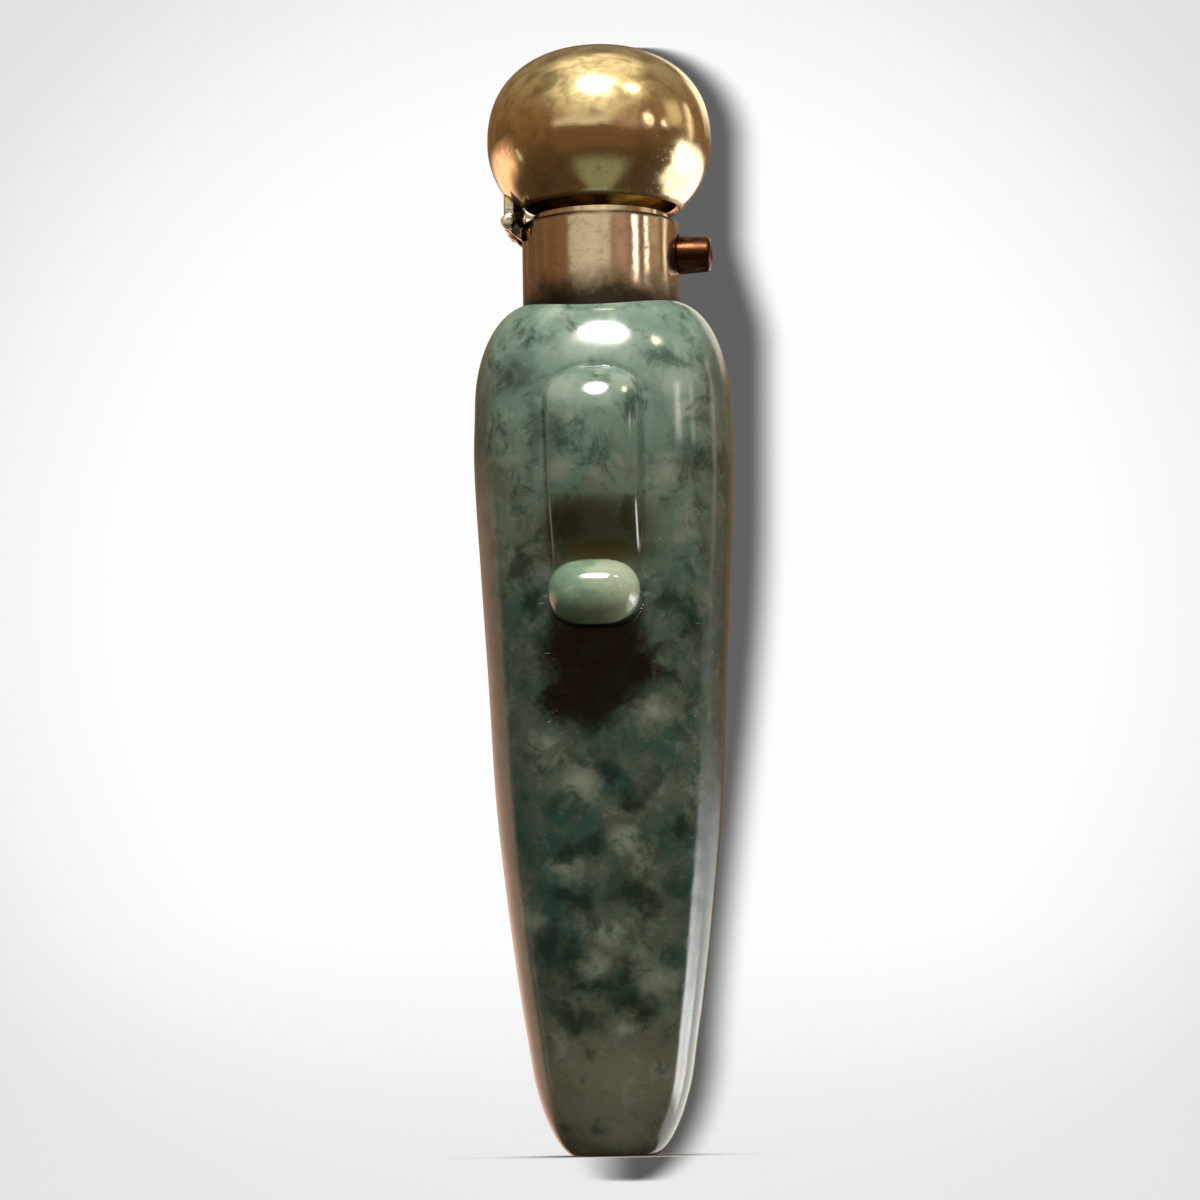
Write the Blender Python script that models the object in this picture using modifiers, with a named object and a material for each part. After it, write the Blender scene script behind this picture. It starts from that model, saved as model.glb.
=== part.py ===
"""A carved moss agate scent flask with a hinged gilt lid, hollow and empty.

Metres, +Z up. The origin is the middle of the flat foot. The front, with the carved strap, faces -Y. The lid's hinge
is on the left (-X) and its catch button on the right (+X).
"""

import math

import bmesh
import bpy
from mathutils import Matrix, Vector

MM = 0.001

# The flask's outside. Its side line is a free form, held as shares of its own height and half width.
FLASK_HEIGHT = 76.0 * MM
FLASK_WIDTH = 23.3 * MM
FLASK_DEPTH = 20.0 * MM
SIDE_LINE = (
    (0.000, 0.525),
    (0.100, 0.612),
    (0.190, 0.702),
    (0.300, 0.792),
    (0.410, 0.863),
    (0.550, 0.910),
    (0.680, 0.958),
    (0.810, 1.000),
    (0.883, 0.988),
    (1.000, 0.975),
)
FOOT_ROUND = 7.7 * MM
SHOULDER_ROUND = 9.0 * MM
SECTION_POWER = 2.35
TOP_SECTION_POWER = 1.9
FOOT_WIDTH = 6.6 * MM
FOOT_DEPTH = 6.0 * MM
SHOULDER_LAND_WIDTH = 13.2 * MM
SHOULDER_LAND_DEPTH = 10.0 * MM

# The hollow of the flask.
STONE_WALL = 3.5 * MM
FLOOR_THICKNESS = 11.0 * MM
CAVITY_END_ROUND = 4.0 * MM
CAVITY_TOP_ROUND = 6.0 * MM
THROAT_DROP = 4.5 * MM
BORE_RADIUS = 3.8 * MM

# The carved strap on the front, and the scroll that its lower end rolls into.
STRAP_WIDTH = 8.9 * MM
STRAP_SET_DOWN = 7.1 * MM
STRAP_ARCH = 3.0 * MM
STRAP_RISE = 4.8 * MM
STRAP_PROUD = 2.8 * MM
STRAP_FACE = 11.6 * MM
RECESS_RUN = 5.2 * MM
RECESS_PROUD = 1.1 * MM
STRAP_CROWN = 1.3 * MM
STRAP_EDGE = 0.6 * MM
STRAP_EDGE_POWER = 10
STRAP_TIP = 0.12 * MM
STRAP_NARROWING = 0.92
STRAP_ROOT = 0.3 * MM
SCROLL_WIDTH = 8.2 * MM
SCROLL_THICKNESS = 5.8 * MM
SCROLL_DEPTH = 7.0 * MM
SCROLL_DROP = 3.4 * MM
SCROLL_PROUD = 4.9 * MM

# The collar, and the neck that it sleeves.
COLLAR_RADIUS = 7.1 * MM
COLLAR_WALL = 0.5 * MM
COLLAR_HEIGHT = 9.35 * MM
COLLAR_SINK = 2.0 * MM
COLLAR_TOP_THICKNESS = 0.6 * MM
MOUTH_RADIUS = 4.1 * MM
BEZEL_GAP = 0.35 * MM
BEZEL_WALL = 0.55 * MM
BEZEL_HEIGHT = 0.75 * MM
FIT_GAP = 0.3 * MM
SEAT_GAP = 0.25 * MM
SEAM_GAP = 0.25 * MM

# The domed lid.
LID_RADIUS = 10.15 * MM
LID_HALF_HEIGHT = 8.75 * MM
LID_CROWN_POWER = 2.3
LID_WALL = 0.6 * MM
LID_BAND_HEIGHT = 1.05 * MM

# The hinge on the left.
HINGE_REACH = 0.9 * MM
KNUCKLE_RADIUS = 0.7 * MM
MIDDLE_KNUCKLE_LENGTH = 2.8 * MM
HINGE_LENGTH = 6.4 * MM
KNUCKLE_GAP = 0.2 * MM
LEAF_INSET = 0.06 * MM
LEAF_HEIGHT = 2.7 * MM
LUG_DROP = 1.9 * MM
PIN_RADIUS = 0.3 * MM
PIN_GAP = 0.12 * MM
PIN_HEAD_RADIUS = 0.5 * MM
PIN_HEAD_THICKNESS = 0.2 * MM
PIN_END_GAP = 0.1 * MM

# The catch button on the right.
BUTTON_ROOT_RADIUS = 1.75 * MM
BUTTON_TIP_RADIUS = 1.55 * MM
BUTTON_LENGTH = 3.3 * MM
BUTTON_REACH = 2.9 * MM
BUTTON_DROP = 2.95 * MM
BUTTON_BEVEL = 0.4 * MM
BUTTON_GAP = 0.2 * MM
BUTTON_TRAVEL = 0.6 * MM

# How finely the solids are cut into facets.
FLASK_SIDES = 44
TURNED_STEPS = 40
CAVITY_STEPS = 24
SMALL_STEPS = 24
PIN_STEPS = 16
ARC_STEPS = 7
LINE_STEPS = 11
STRAP_STEPS = 14
STRAP_LEVELS = 16
DOME_LEVELS = 17
PILLOW_SIDES = 24
PILLOW_LEVELS = 14

# Places that follow from the sizes above.
STRAP_TOP_Z = FLASK_HEIGHT - STRAP_SET_DOWN
STRAP_TURN_Z = STRAP_TOP_Z - STRAP_FACE
RECESS_Z = STRAP_TURN_Z - RECESS_RUN
SCROLL_Z = RECESS_Z - SCROLL_DROP
COLLAR_FOOT_Z = FLASK_HEIGHT - COLLAR_SINK
COLLAR_TOP_Z = COLLAR_FOOT_Z + COLLAR_HEIGHT
COLLAR_BORE_RADIUS = COLLAR_RADIUS - COLLAR_WALL
BEZEL_RADIUS = COLLAR_RADIUS - LID_WALL - BEZEL_GAP
NECK_RADIUS = COLLAR_BORE_RADIUS - FIT_GAP
NECK_TOP_Z = COLLAR_TOP_Z - COLLAR_TOP_THICKNESS - FIT_GAP
LID_FOOT_Z = COLLAR_TOP_Z + SEAM_GAP
HINGE_X = -(COLLAR_RADIUS + HINGE_REACH)
HINGE_Z = COLLAR_TOP_Z + SEAM_GAP / 2
BUTTON_TIP_X = COLLAR_RADIUS + BUTTON_REACH
BUTTON_Z = COLLAR_TOP_Z - BUTTON_DROP
PAST = 2.0 * MM


def clear_scene():
    for old in list(bpy.data.objects):
        bpy.data.objects.remove(old, do_unlink=True)


def new_collection(name, hidden=False):
    made = bpy.data.collections.new(name)
    bpy.context.scene.collection.children.link(made)
    made.hide_render = hidden
    return made


def principled(name, colour, roughness, metallic):
    material = bpy.data.materials.new(name)
    material.use_nodes = True
    shader = material.node_tree.nodes["Principled BSDF"]
    shader.inputs["Base Color"].default_value = (*colour, 1.0)
    shader.inputs["Roughness"].default_value = roughness
    shader.inputs["Metallic"].default_value = metallic
    return material


def placed(name, bm, collection, smooth_angle=35.0):
    """A mesh object made of bm, shaded smooth but for its sharp edges."""
    mesh = bpy.data.meshes.new(name)
    bm.to_mesh(mesh)
    bm.free()
    mesh.shade_smooth()
    mesh.set_sharp_from_angle(angle=math.radians(smooth_angle))
    made = bpy.data.objects.new(name, mesh)
    collection.objects.link(made)
    return made


def as_cutter(made):
    made.hide_render = True
    made.display_type = "WIRE"
    return made


def combined(made, other, operation):
    modifier = made.modifiers.new(f"{operation.title()} {other.name}", "BOOLEAN")
    modifier.operation = operation
    modifier.object = other
    modifier.solver = "EXACT"


def turned(name, profile, steps, collection):
    """A body turned about Z. The profile runs down its outer side, as (radius, height) points."""
    bm = bmesh.new()
    points = [bm.verts.new((radius, 0.0, height)) for radius, height in profile]
    for first, second in zip(points, points[1:]):
        bm.edges.new((first, second))
    made = placed(name, bm, collection)
    screw = made.modifiers.new("Turn", "SCREW")
    screw.axis = "Z"
    screw.angle = 2 * math.pi
    screw.steps = screw.render_steps = steps
    screw.use_merge_vertices = True
    screw.merge_threshold = 1e-6
    screw.use_smooth_shade = True
    return made


def rod(name, radius_low, radius_high, low, high, along, centre, steps, collection):
    """A round bar or taper from low to high, measured from centre on the axis named by along."""
    turn = {"X": Matrix.Rotation(math.pi / 2, 4, "Y"), "Y": Matrix.Rotation(-math.pi / 2, 4, "X"), "Z": Matrix()}[along]
    bm = bmesh.new()
    bmesh.ops.create_cone(
        bm, cap_ends=True, segments=steps, radius1=radius_low, radius2=radius_high, depth=high - low,
        matrix=Matrix.Translation(centre) @ turn @ Matrix.Translation((0.0, 0.0, (low + high) / 2)),
    )
    return placed(name, bm, collection)


def box(name, low, high, collection):
    bm = bmesh.new()
    bmesh.ops.create_cube(bm, size=1.0)
    low, high = Vector(low), Vector(high)
    bmesh.ops.scale(bm, vec=high - low, verts=bm.verts)
    bmesh.ops.translate(bm, vec=(low + high) / 2, verts=bm.verts)
    return placed(name, bm, collection)


def lofted(name, rings, collection):
    """A closed skin through rings of equal count, listed bottom to top, each counter-clockwise from above."""
    bm = bmesh.new()
    levels = [[bm.verts.new(point) for point in ring] for ring in rings]
    count = len(levels[0])
    for lower, upper in zip(levels, levels[1:]):
        for i in range(count):
            j = (i + 1) % count
            bm.faces.new((lower[i], lower[j], upper[j], upper[i]))
    bm.faces.new(levels[0][::-1])
    bm.faces.new(levels[-1])
    return placed(name, bm, collection)


def smooth_through(stations, at):
    """The value at a place on a smooth line through (place, value) stations."""
    places = [place for place, _ in stations]
    values = [value for _, value in stations]
    last = len(stations) - 1
    i = max(0, min(last - 1, sum(place <= at for place in places) - 1))

    def slope(k):
        before, after = max(0, k - 1), min(last, k + 1)
        return (values[after] - values[before]) / (places[after] - places[before])

    span = places[i + 1] - places[i]
    t = (at - places[i]) / span
    start, end = values[i], values[i + 1]
    return (
        start * (2 * t**3 - 3 * t**2 + 1)
        + end * (3 * t**2 - 2 * t**3)
        + span * (slope(i) * (t**3 - 2 * t**2 + t) + slope(i + 1) * (t**3 - t**2))
    )


def rounding(inner, outer, height, into):
    """The half size on a quarter ellipse that runs from outer, at into = 0, to inner, at into = height."""
    return inner + (outer - inner) * math.sqrt(max(0.0, 1.0 - (into / height) ** 2))


def flask_half(z, full_size, foot, land):
    """Half the flask's width or depth at height z."""
    outer = smooth_through(SIDE_LINE, z / FLASK_HEIGHT) * full_size / 2
    shoulder_start = FLASK_HEIGHT - SHOULDER_ROUND
    if z < FOOT_ROUND:
        return rounding(foot / 2, outer, FOOT_ROUND, FOOT_ROUND - z)
    if z > shoulder_start:
        return rounding(land / 2, outer, SHOULDER_ROUND, z - shoulder_start)
    return outer


def half_width(z):
    return flask_half(z, FLASK_WIDTH, FOOT_WIDTH, SHOULDER_LAND_WIDTH)


def half_depth(z):
    return flask_half(z, FLASK_DEPTH, FOOT_DEPTH, SHOULDER_LAND_DEPTH)


def section_power(z):
    """The power of the flask's section at height z. It gets rounder towards the top of the shoulder."""
    up = max(0.0, (z - (FLASK_HEIGHT - SHOULDER_ROUND)) / SHOULDER_ROUND)
    return SECTION_POWER + (TOP_SECTION_POWER - SECTION_POWER) * up**2


def power_ring(across, deep, z, power, count):
    """A superellipse at height z."""
    ring = []
    for i in range(count):
        turn = 2 * math.pi * i / count
        c, s = math.cos(turn), math.sin(turn)
        ring.append((
            across * math.copysign(abs(c) ** (2 / power), c),
            deep * math.copysign(abs(s) ** (2 / power), s),
            z,
        ))
    return ring


def flask_levels():
    """Heights of the flask's rings, close together where it rounds over."""
    shoulder_start = FLASK_HEIGHT - SHOULDER_ROUND
    quarter = [math.pi / 2 * i / ARC_STEPS for i in range(ARC_STEPS)]
    foot = [FOOT_ROUND * (1 - math.cos(turn)) for turn in quarter]
    side = [FOOT_ROUND + (shoulder_start - FOOT_ROUND) * i / LINE_STEPS for i in range(LINE_STEPS)]
    shoulder = [shoulder_start + SHOULDER_ROUND * math.sin(turn) for turn in quarter]
    return foot + side + shoulder + [FLASK_HEIGHT]


def flask_blank(collection):
    rings = [power_ring(half_width(z), half_depth(z), z, section_power(z), FLASK_SIDES) for z in flask_levels()]
    return lofted("agate_flask", rings, collection)


def strap_front(z):
    """How far the strap's middle stands out from the axis at height z."""
    proud = STRAP_PROUD
    if z > STRAP_TOP_Z - STRAP_RISE:
        proud = rounding(-STRAP_ROOT, STRAP_PROUD, STRAP_RISE, z - (STRAP_TOP_Z - STRAP_RISE))
    elif z < STRAP_TURN_Z:
        t = min(1.0, (STRAP_TURN_Z - z) / RECESS_RUN)
        proud = STRAP_PROUD + (RECESS_PROUD - STRAP_PROUD) * t * t * (3 - 2 * t)
    return half_depth(z) + proud


def strap_half_width(z):
    arch_start = STRAP_TOP_Z - STRAP_ARCH
    if z > arch_start:
        return STRAP_WIDTH / 2 * math.sqrt(1 - ((z - arch_start) / STRAP_ARCH) ** 2)
    down = (arch_start - z) / (arch_start - SCROLL_Z)
    return STRAP_WIDTH / 2 * (1 - (1 - STRAP_NARROWING) * down)


def strap_ring(z):
    """The strap's section at height z: a crowned front, straight sides, and a back inside the stone."""
    half, front, back = strap_half_width(z), strap_front(z), half_depth(z) / 2
    ring = [(-half, -back, z)]
    for i in range(STRAP_STEPS + 1):
        share = -math.cos(math.pi * i / STRAP_STEPS)
        sunk = STRAP_CROWN * share**2 + STRAP_EDGE * abs(share) ** STRAP_EDGE_POWER
        ring.append((half * share, -(front - sunk), z))
    return ring + [(half, -back, z)]


def strap(collection):
    top, bottom = STRAP_TOP_Z - STRAP_TIP, SCROLL_Z
    turns = [math.pi / 2 * i / STRAP_LEVELS for i in range(STRAP_LEVELS + 1)]
    levels = [bottom + (top - bottom) * math.sin(turn) for turn in turns]
    return as_cutter(lofted("strap_form", [strap_ring(z) for z in levels], collection))


def scroll(collection):
    """The rolled end of the strap, a pillow that lies across it."""
    bm = bmesh.new()
    bmesh.ops.create_uvsphere(bm, u_segments=PILLOW_SIDES, v_segments=PILLOW_LEVELS, radius=0.5)
    bmesh.ops.rotate(bm, matrix=Matrix.Rotation(math.pi / 2, 3, "Y"), verts=bm.verts)
    bmesh.ops.scale(bm, vec=(SCROLL_WIDTH, SCROLL_DEPTH, SCROLL_THICKNESS), verts=bm.verts)
    front = half_depth(SCROLL_Z) + SCROLL_PROUD
    bmesh.ops.translate(bm, vec=(0.0, SCROLL_DEPTH / 2 - front, SCROLL_Z), verts=bm.verts)
    return as_cutter(placed("scroll_form", bm, collection))


def cavity_profile():
    """The hollow's (radius, height) points: down the bore, out at the throat, then inside the stone to the floor."""
    throat = FLASK_HEIGHT - THROAT_DROP
    belly = throat - CAVITY_TOP_ROUND
    bend = FLOOR_THICKNESS + CAVITY_END_ROUND

    def inside(z):
        return half_depth(z) - STONE_WALL

    points = [(0.0, NECK_TOP_Z + PAST), (BORE_RADIUS, NECK_TOP_Z + PAST)]
    for i in range(ARC_STEPS):
        turn = math.pi / 2 * (1 - i / ARC_STEPS)
        z = belly + CAVITY_TOP_ROUND * math.sin(turn)
        points.append((rounding(BORE_RADIUS, inside(belly), CAVITY_TOP_ROUND, z - belly), z))
    for i in range(LINE_STEPS):
        z = belly + (bend - belly) * i / LINE_STEPS
        points.append((inside(z), z))
    for i in range(ARC_STEPS):
        z = bend - CAVITY_END_ROUND * math.sin(math.pi / 2 * i / ARC_STEPS)
        points.append((rounding(0.0, inside(bend), CAVITY_END_ROUND, bend - z), z))
    return points + [(0.0, FLOOR_THICKNESS)]


def agate_flask(parts, cutters, finish):
    flask = flask_blank(parts)
    flask.data.materials.append(finish)
    origin = (0.0, 0.0, 0.0)
    seat_radius = COLLAR_RADIUS + SEAT_GAP
    seat = rod("collar_seat", seat_radius, seat_radius, COLLAR_FOOT_Z - SEAT_GAP, NECK_TOP_Z, "Z", origin,
               TURNED_STEPS, cutters)
    neck = rod("neck_form", NECK_RADIUS, NECK_RADIUS, FLASK_HEIGHT - THROAT_DROP, NECK_TOP_Z, "Z", origin,
               TURNED_STEPS, cutters)
    pocket_radius = BUTTON_ROOT_RADIUS + BUTTON_GAP
    pocket_floor = BUTTON_TIP_X - BUTTON_LENGTH - BUTTON_TRAVEL - FIT_GAP
    pocket = rod("catch_pocket", pocket_radius, pocket_radius, pocket_floor, COLLAR_RADIUS + PAST, "X",
                 (0.0, 0.0, BUTTON_Z), SMALL_STEPS, cutters)
    cavity = turned("cavity_form", cavity_profile(), CAVITY_STEPS, cutters)
    combined(flask, as_cutter(seat), "DIFFERENCE")
    combined(flask, as_cutter(neck), "UNION")
    combined(flask, strap(cutters), "UNION")
    combined(flask, scroll(cutters), "UNION")
    combined(flask, as_cutter(pocket), "DIFFERENCE")
    combined(flask, as_cutter(cavity), "DIFFERENCE")
    return flask


def lug(name, near, far, collection):
    """The part of the collar that holds one end knuckle, a wedge that runs down into the collar's wall."""
    foot_x = COLLAR_BORE_RADIUS - BEZEL_WALL
    outer = HINGE_X - KNUCKLE_RADIUS + LEAF_INSET
    outline = (
        (outer, HINGE_Z),
        (outer, HINGE_Z - KNUCKLE_RADIUS / 2),
        (-foot_x, HINGE_Z - LUG_DROP),
        (-foot_x, HINGE_Z - KNUCKLE_RADIUS),
        (HINGE_X + KNUCKLE_RADIUS / 2, HINGE_Z + KNUCKLE_RADIUS / 2),
    )
    rings = [[(x, y, z) for x, z in outline] for y in sorted((near, far))]
    bm = bmesh.new()
    ends = [[bm.verts.new(point) for point in ring] for ring in rings]
    count = len(outline)
    for i in range(count):
        j = (i + 1) % count
        bm.faces.new((ends[0][i], ends[0][j], ends[1][j], ends[1][i]))
    bm.faces.new(ends[0][::-1])
    bm.faces.new(ends[1])
    bmesh.ops.recalc_face_normals(bm, faces=bm.faces)
    return as_cutter(placed(name, bm, collection))


def hinge_bar(name, radius, low, high, steps, collection):
    return rod(name, radius, radius, low, high, "Y", (HINGE_X, 0.0, HINGE_Z), steps, collection)


def neck_collar(parts, cutters, finish):
    profile = (
        (0.0, COLLAR_TOP_Z + BEZEL_HEIGHT),
        (BEZEL_RADIUS, COLLAR_TOP_Z + BEZEL_HEIGHT),
        (BEZEL_RADIUS, COLLAR_TOP_Z),
        (COLLAR_RADIUS, COLLAR_TOP_Z),
        (COLLAR_RADIUS, COLLAR_FOOT_Z),
        (0.0, COLLAR_FOOT_Z),
    )
    collar = turned("neck_collar", profile, TURNED_STEPS, parts)
    collar.data.materials.append(finish)
    under_top = COLLAR_TOP_Z - COLLAR_TOP_THICKNESS
    bezel_bore = BEZEL_RADIUS - BEZEL_WALL
    inside = (
        (0.0, COLLAR_TOP_Z + BEZEL_HEIGHT + PAST),
        (bezel_bore, COLLAR_TOP_Z + BEZEL_HEIGHT + PAST),
        (bezel_bore, COLLAR_TOP_Z),
        (MOUTH_RADIUS, COLLAR_TOP_Z),
        (MOUTH_RADIUS, under_top),
        (COLLAR_BORE_RADIUS, under_top),
        (COLLAR_BORE_RADIUS, COLLAR_FOOT_Z - PAST),
        (0.0, COLLAR_FOOT_Z - PAST),
    )
    near, far = MIDDLE_KNUCKLE_LENGTH / 2 + KNUCKLE_GAP, HINGE_LENGTH / 2
    for side, word in ((-1, "front"), (1, "back")):
        low, high = sorted((side * near, side * far))
        combined(collar, lug(f"{word}_lug_form", low + LEAF_INSET, high - LEAF_INSET, cutters), "UNION")
        knuckle = hinge_bar(f"{word}_knuckle_form", KNUCKLE_RADIUS, low, high, SMALL_STEPS, cutters)
        combined(collar, as_cutter(knuckle), "UNION")
    combined(collar, as_cutter(turned("collar_inside", inside, TURNED_STEPS, cutters)), "DIFFERENCE")
    combined(collar, cutters.objects["pin_bore"], "DIFFERENCE")
    hole_radius = BUTTON_ROOT_RADIUS + BUTTON_GAP
    hole = rod("button_hole", hole_radius, hole_radius, BEZEL_RADIUS - BEZEL_WALL, COLLAR_RADIUS + PAST, "X",
               (0.0, 0.0, BUTTON_Z), SMALL_STEPS, cutters)
    combined(collar, as_cutter(hole), "DIFFERENCE")
    return collar


def dome_profile(radius, half_height, band_radius, centre_z, foot_z):
    """A dome's (radius, height) points, from its crown round past its widest to the band that it sits on.

    Above its widest it is squarer than an ellipse, by LID_CROWN_POWER.
    """
    end = math.pi - math.asin(band_radius / radius)
    points = [(0.0, centre_z + half_height)]
    for i in range(1, DOME_LEVELS + 1):
        out, up = math.sin(end * i / DOME_LEVELS), math.cos(end * i / DOME_LEVELS)
        if up > 0:
            out, up = out ** (2 / LID_CROWN_POWER), up ** (2 / LID_CROWN_POWER)
        points.append((radius * out, centre_z + half_height * up))
    return points + [(band_radius, foot_z), (0.0, foot_z)]


def domed_lid(parts, cutters, finish):
    rise = LID_HALF_HEIGHT * math.sqrt(1 - (COLLAR_RADIUS / LID_RADIUS) ** 2)
    centre_z = LID_FOOT_Z + LID_BAND_HEIGHT + rise
    outside = dome_profile(LID_RADIUS, LID_HALF_HEIGHT, COLLAR_RADIUS, centre_z, LID_FOOT_Z)
    inside = dome_profile(
        LID_RADIUS - LID_WALL, LID_HALF_HEIGHT - LID_WALL, COLLAR_RADIUS - LID_WALL, centre_z, LID_FOOT_Z - PAST
    )
    lid = turned("domed_lid", outside, TURNED_STEPS, parts)
    lid.data.materials.append(finish)
    half = MIDDLE_KNUCKLE_LENGTH / 2
    side = half - LEAF_INSET
    outer = HINGE_X - KNUCKLE_RADIUS + LEAF_INSET
    inner = -(COLLAR_RADIUS - LID_WALL / 2)
    leaf = box("leaf_form", (outer, -side, LID_FOOT_Z + LEAF_INSET), (inner, side, HINGE_Z + LEAF_HEIGHT), cutters)
    knuckle = hinge_bar("middle_knuckle_form", KNUCKLE_RADIUS, -half, half, SMALL_STEPS, cutters)
    combined(lid, as_cutter(leaf), "UNION")
    combined(lid, as_cutter(knuckle), "UNION")
    combined(lid, as_cutter(turned("lid_inside", inside, TURNED_STEPS, cutters)), "DIFFERENCE")
    combined(lid, cutters.objects["pin_bore"], "DIFFERENCE")
    return lid


def hinge_pin(parts, cutters, finish):
    """A pin with a flat head riveted over at each end."""
    head = HINGE_LENGTH / 2 + PIN_END_GAP
    pin = hinge_bar("hinge_pin", PIN_RADIUS, -head, head, PIN_STEPS, parts)
    pin.data.materials.append(finish)
    for side, word in ((-1, "front"), (1, "back")):
        low, high = sorted((side * head, side * (head + PIN_HEAD_THICKNESS)))
        cap = hinge_bar(f"{word}_pin_head", PIN_HEAD_RADIUS, low, high, PIN_STEPS, cutters)
        combined(pin, as_cutter(cap), "UNION")
    return pin


def catch_button(parts, finish):
    button = rod("catch_button", BUTTON_ROOT_RADIUS, BUTTON_TIP_RADIUS, BUTTON_TIP_X - BUTTON_LENGTH, BUTTON_TIP_X, "X",
                 (0.0, 0.0, BUTTON_Z), SMALL_STEPS, parts)
    button.data.materials.append(finish)
    bevel = button.modifiers.new("Bevel", "BEVEL")
    bevel.width = BUTTON_BEVEL
    bevel.segments = 2
    bevel.limit_method = "ANGLE"
    bevel.angle_limit = math.radians(60)
    return button


def main():
    clear_scene()
    parts = new_collection("moss_agate_scent_flask")
    cutters = new_collection("cutters", hidden=True)
    agate = principled("moss_agate", (0.06, 0.11, 0.08), 0.12, 0.0)
    gilt = principled("gilt_metal", (0.62, 0.45, 0.22), 0.18, 1.0)
    dark_gilt = principled("darkened_gilt", (0.30, 0.19, 0.09), 0.3, 1.0)
    far = HINGE_LENGTH / 2 + PAST
    as_cutter(hinge_bar("pin_bore", PIN_RADIUS + PIN_GAP, -far, far, PIN_STEPS, cutters))
    agate_flask(parts, cutters, agate)
    neck_collar(parts, cutters, gilt)
    domed_lid(parts, cutters, gilt)
    hinge_pin(parts, cutters, dark_gilt)
    catch_button(parts, dark_gilt)


main()
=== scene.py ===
# %% [markdown]
# # A carved moss agate scent flask
#
# The object is a slim flask, cut and polished from one piece of moss agate, about 100 mm tall. A strap is carved in
# relief on its front, and its lower end rolls into a scroll. Above the stone sit a gilt metal collar, a domed lid
# on a small hinge at the left, and a push button at the right.
#
# This lesson dresses the plain solids of the CAD part with smooth, finely shaped pieces and with the look of real
# stone and metal. Everything is in metres, +Z is up, and the front faces -Y, exactly as in the CAD part.

# %% Load the frame
import math

import bpy
from mathutils import Matrix, Vector


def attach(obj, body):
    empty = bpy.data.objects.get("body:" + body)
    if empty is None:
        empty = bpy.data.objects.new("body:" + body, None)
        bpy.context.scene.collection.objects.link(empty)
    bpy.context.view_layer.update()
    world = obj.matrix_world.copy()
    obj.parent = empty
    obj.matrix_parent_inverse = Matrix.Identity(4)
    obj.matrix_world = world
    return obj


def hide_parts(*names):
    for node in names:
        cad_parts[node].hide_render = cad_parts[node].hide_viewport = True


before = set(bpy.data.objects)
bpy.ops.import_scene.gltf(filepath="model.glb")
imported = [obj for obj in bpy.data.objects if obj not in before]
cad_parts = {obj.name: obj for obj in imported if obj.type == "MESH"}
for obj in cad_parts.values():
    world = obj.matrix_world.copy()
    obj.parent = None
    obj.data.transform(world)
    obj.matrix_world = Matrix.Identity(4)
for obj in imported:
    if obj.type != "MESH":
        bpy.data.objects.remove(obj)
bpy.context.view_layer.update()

# %% [markdown]
# ## The sizes
#
# The CAD part's named sizes are repeated here, in metres, because a piece that replaces a solid has to fill the
# same space. The flask's side line is a free form, so it is a short table of shares of its height and half width,
# with a smooth line drawn through it.

# %% Sizes of the flask
MM = 0.001
FLASK_HEIGHT, FLASK_WIDTH, FLASK_DEPTH = 76.0 * MM, 23.285 * MM, 20.0 * MM
SIDE_LINE = (
    (0.000, 0.525), (0.100, 0.612), (0.190, 0.702), (0.300, 0.792), (0.410, 0.863),
    (0.550, 0.910), (0.680, 0.958), (0.810, 1.000), (0.883, 0.988), (1.000, 0.975),
)
FOOT_ROUND, SHOULDER_ROUND = 7.7 * MM, 9.0 * MM
SECTION_POWER, TOP_SECTION_POWER = 2.35, 1.9
FOOT_HALVES = (3.3 * MM, 3.0 * MM)
LAND_HALVES = (6.6 * MM, 5.0 * MM)
SHOULDER_Z = FLASK_HEIGHT - SHOULDER_ROUND
COLLAR_RADIUS, COLLAR_FOOT_Z, COLLAR_TOP_Z = 7.1 * MM, 74.0 * MM, 83.35 * MM
SEAT_RADIUS, SEAT_Z = 7.35 * MM, 73.75 * MM
NECK_RADIUS, NECK_TOP_Z, BORE_RADIUS = 6.3 * MM, 82.45 * MM, 3.8 * MM
BUTTON_Z, POCKET_RADIUS, POCKET_FLOOR_X = 80.4 * MM, 2.05 * MM, 5.8 * MM


def smooth_through(stations, at):
    """The value at a place on a smooth line through (place, value) stations."""
    places, values = zip(*stations)
    last = len(stations) - 1
    i = max(0, min(last - 1, sum(place <= at for place in places) - 1))

    def slope(k):
        before, after = max(0, k - 1), min(last, k + 1)
        return (values[after] - values[before]) / (places[after] - places[before])

    span = places[i + 1] - places[i]
    t = (at - places[i]) / span
    return (
        values[i] * (2 * t**3 - 3 * t**2 + 1) + values[i + 1] * (3 * t**2 - 2 * t**3)
        + span * (slope(i) * (t**3 - 2 * t**2 + t) + slope(i + 1) * (t**3 - t**2))
    )


def rounding(inner, outer, height, into):
    """The half size on a quarter ellipse that runs from outer, at into = 0, to inner, at into = height."""
    return inner + (outer - inner) * math.sqrt(max(0.0, 1.0 - (into / height) ** 2))


def section_power(z):
    """The power of the flask's section. It gets rounder towards the top of the shoulder."""
    return SECTION_POWER + (TOP_SECTION_POWER - SECTION_POWER) * max(0.0, (z - SHOULDER_Z) / SHOULDER_ROUND) ** 2


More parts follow.
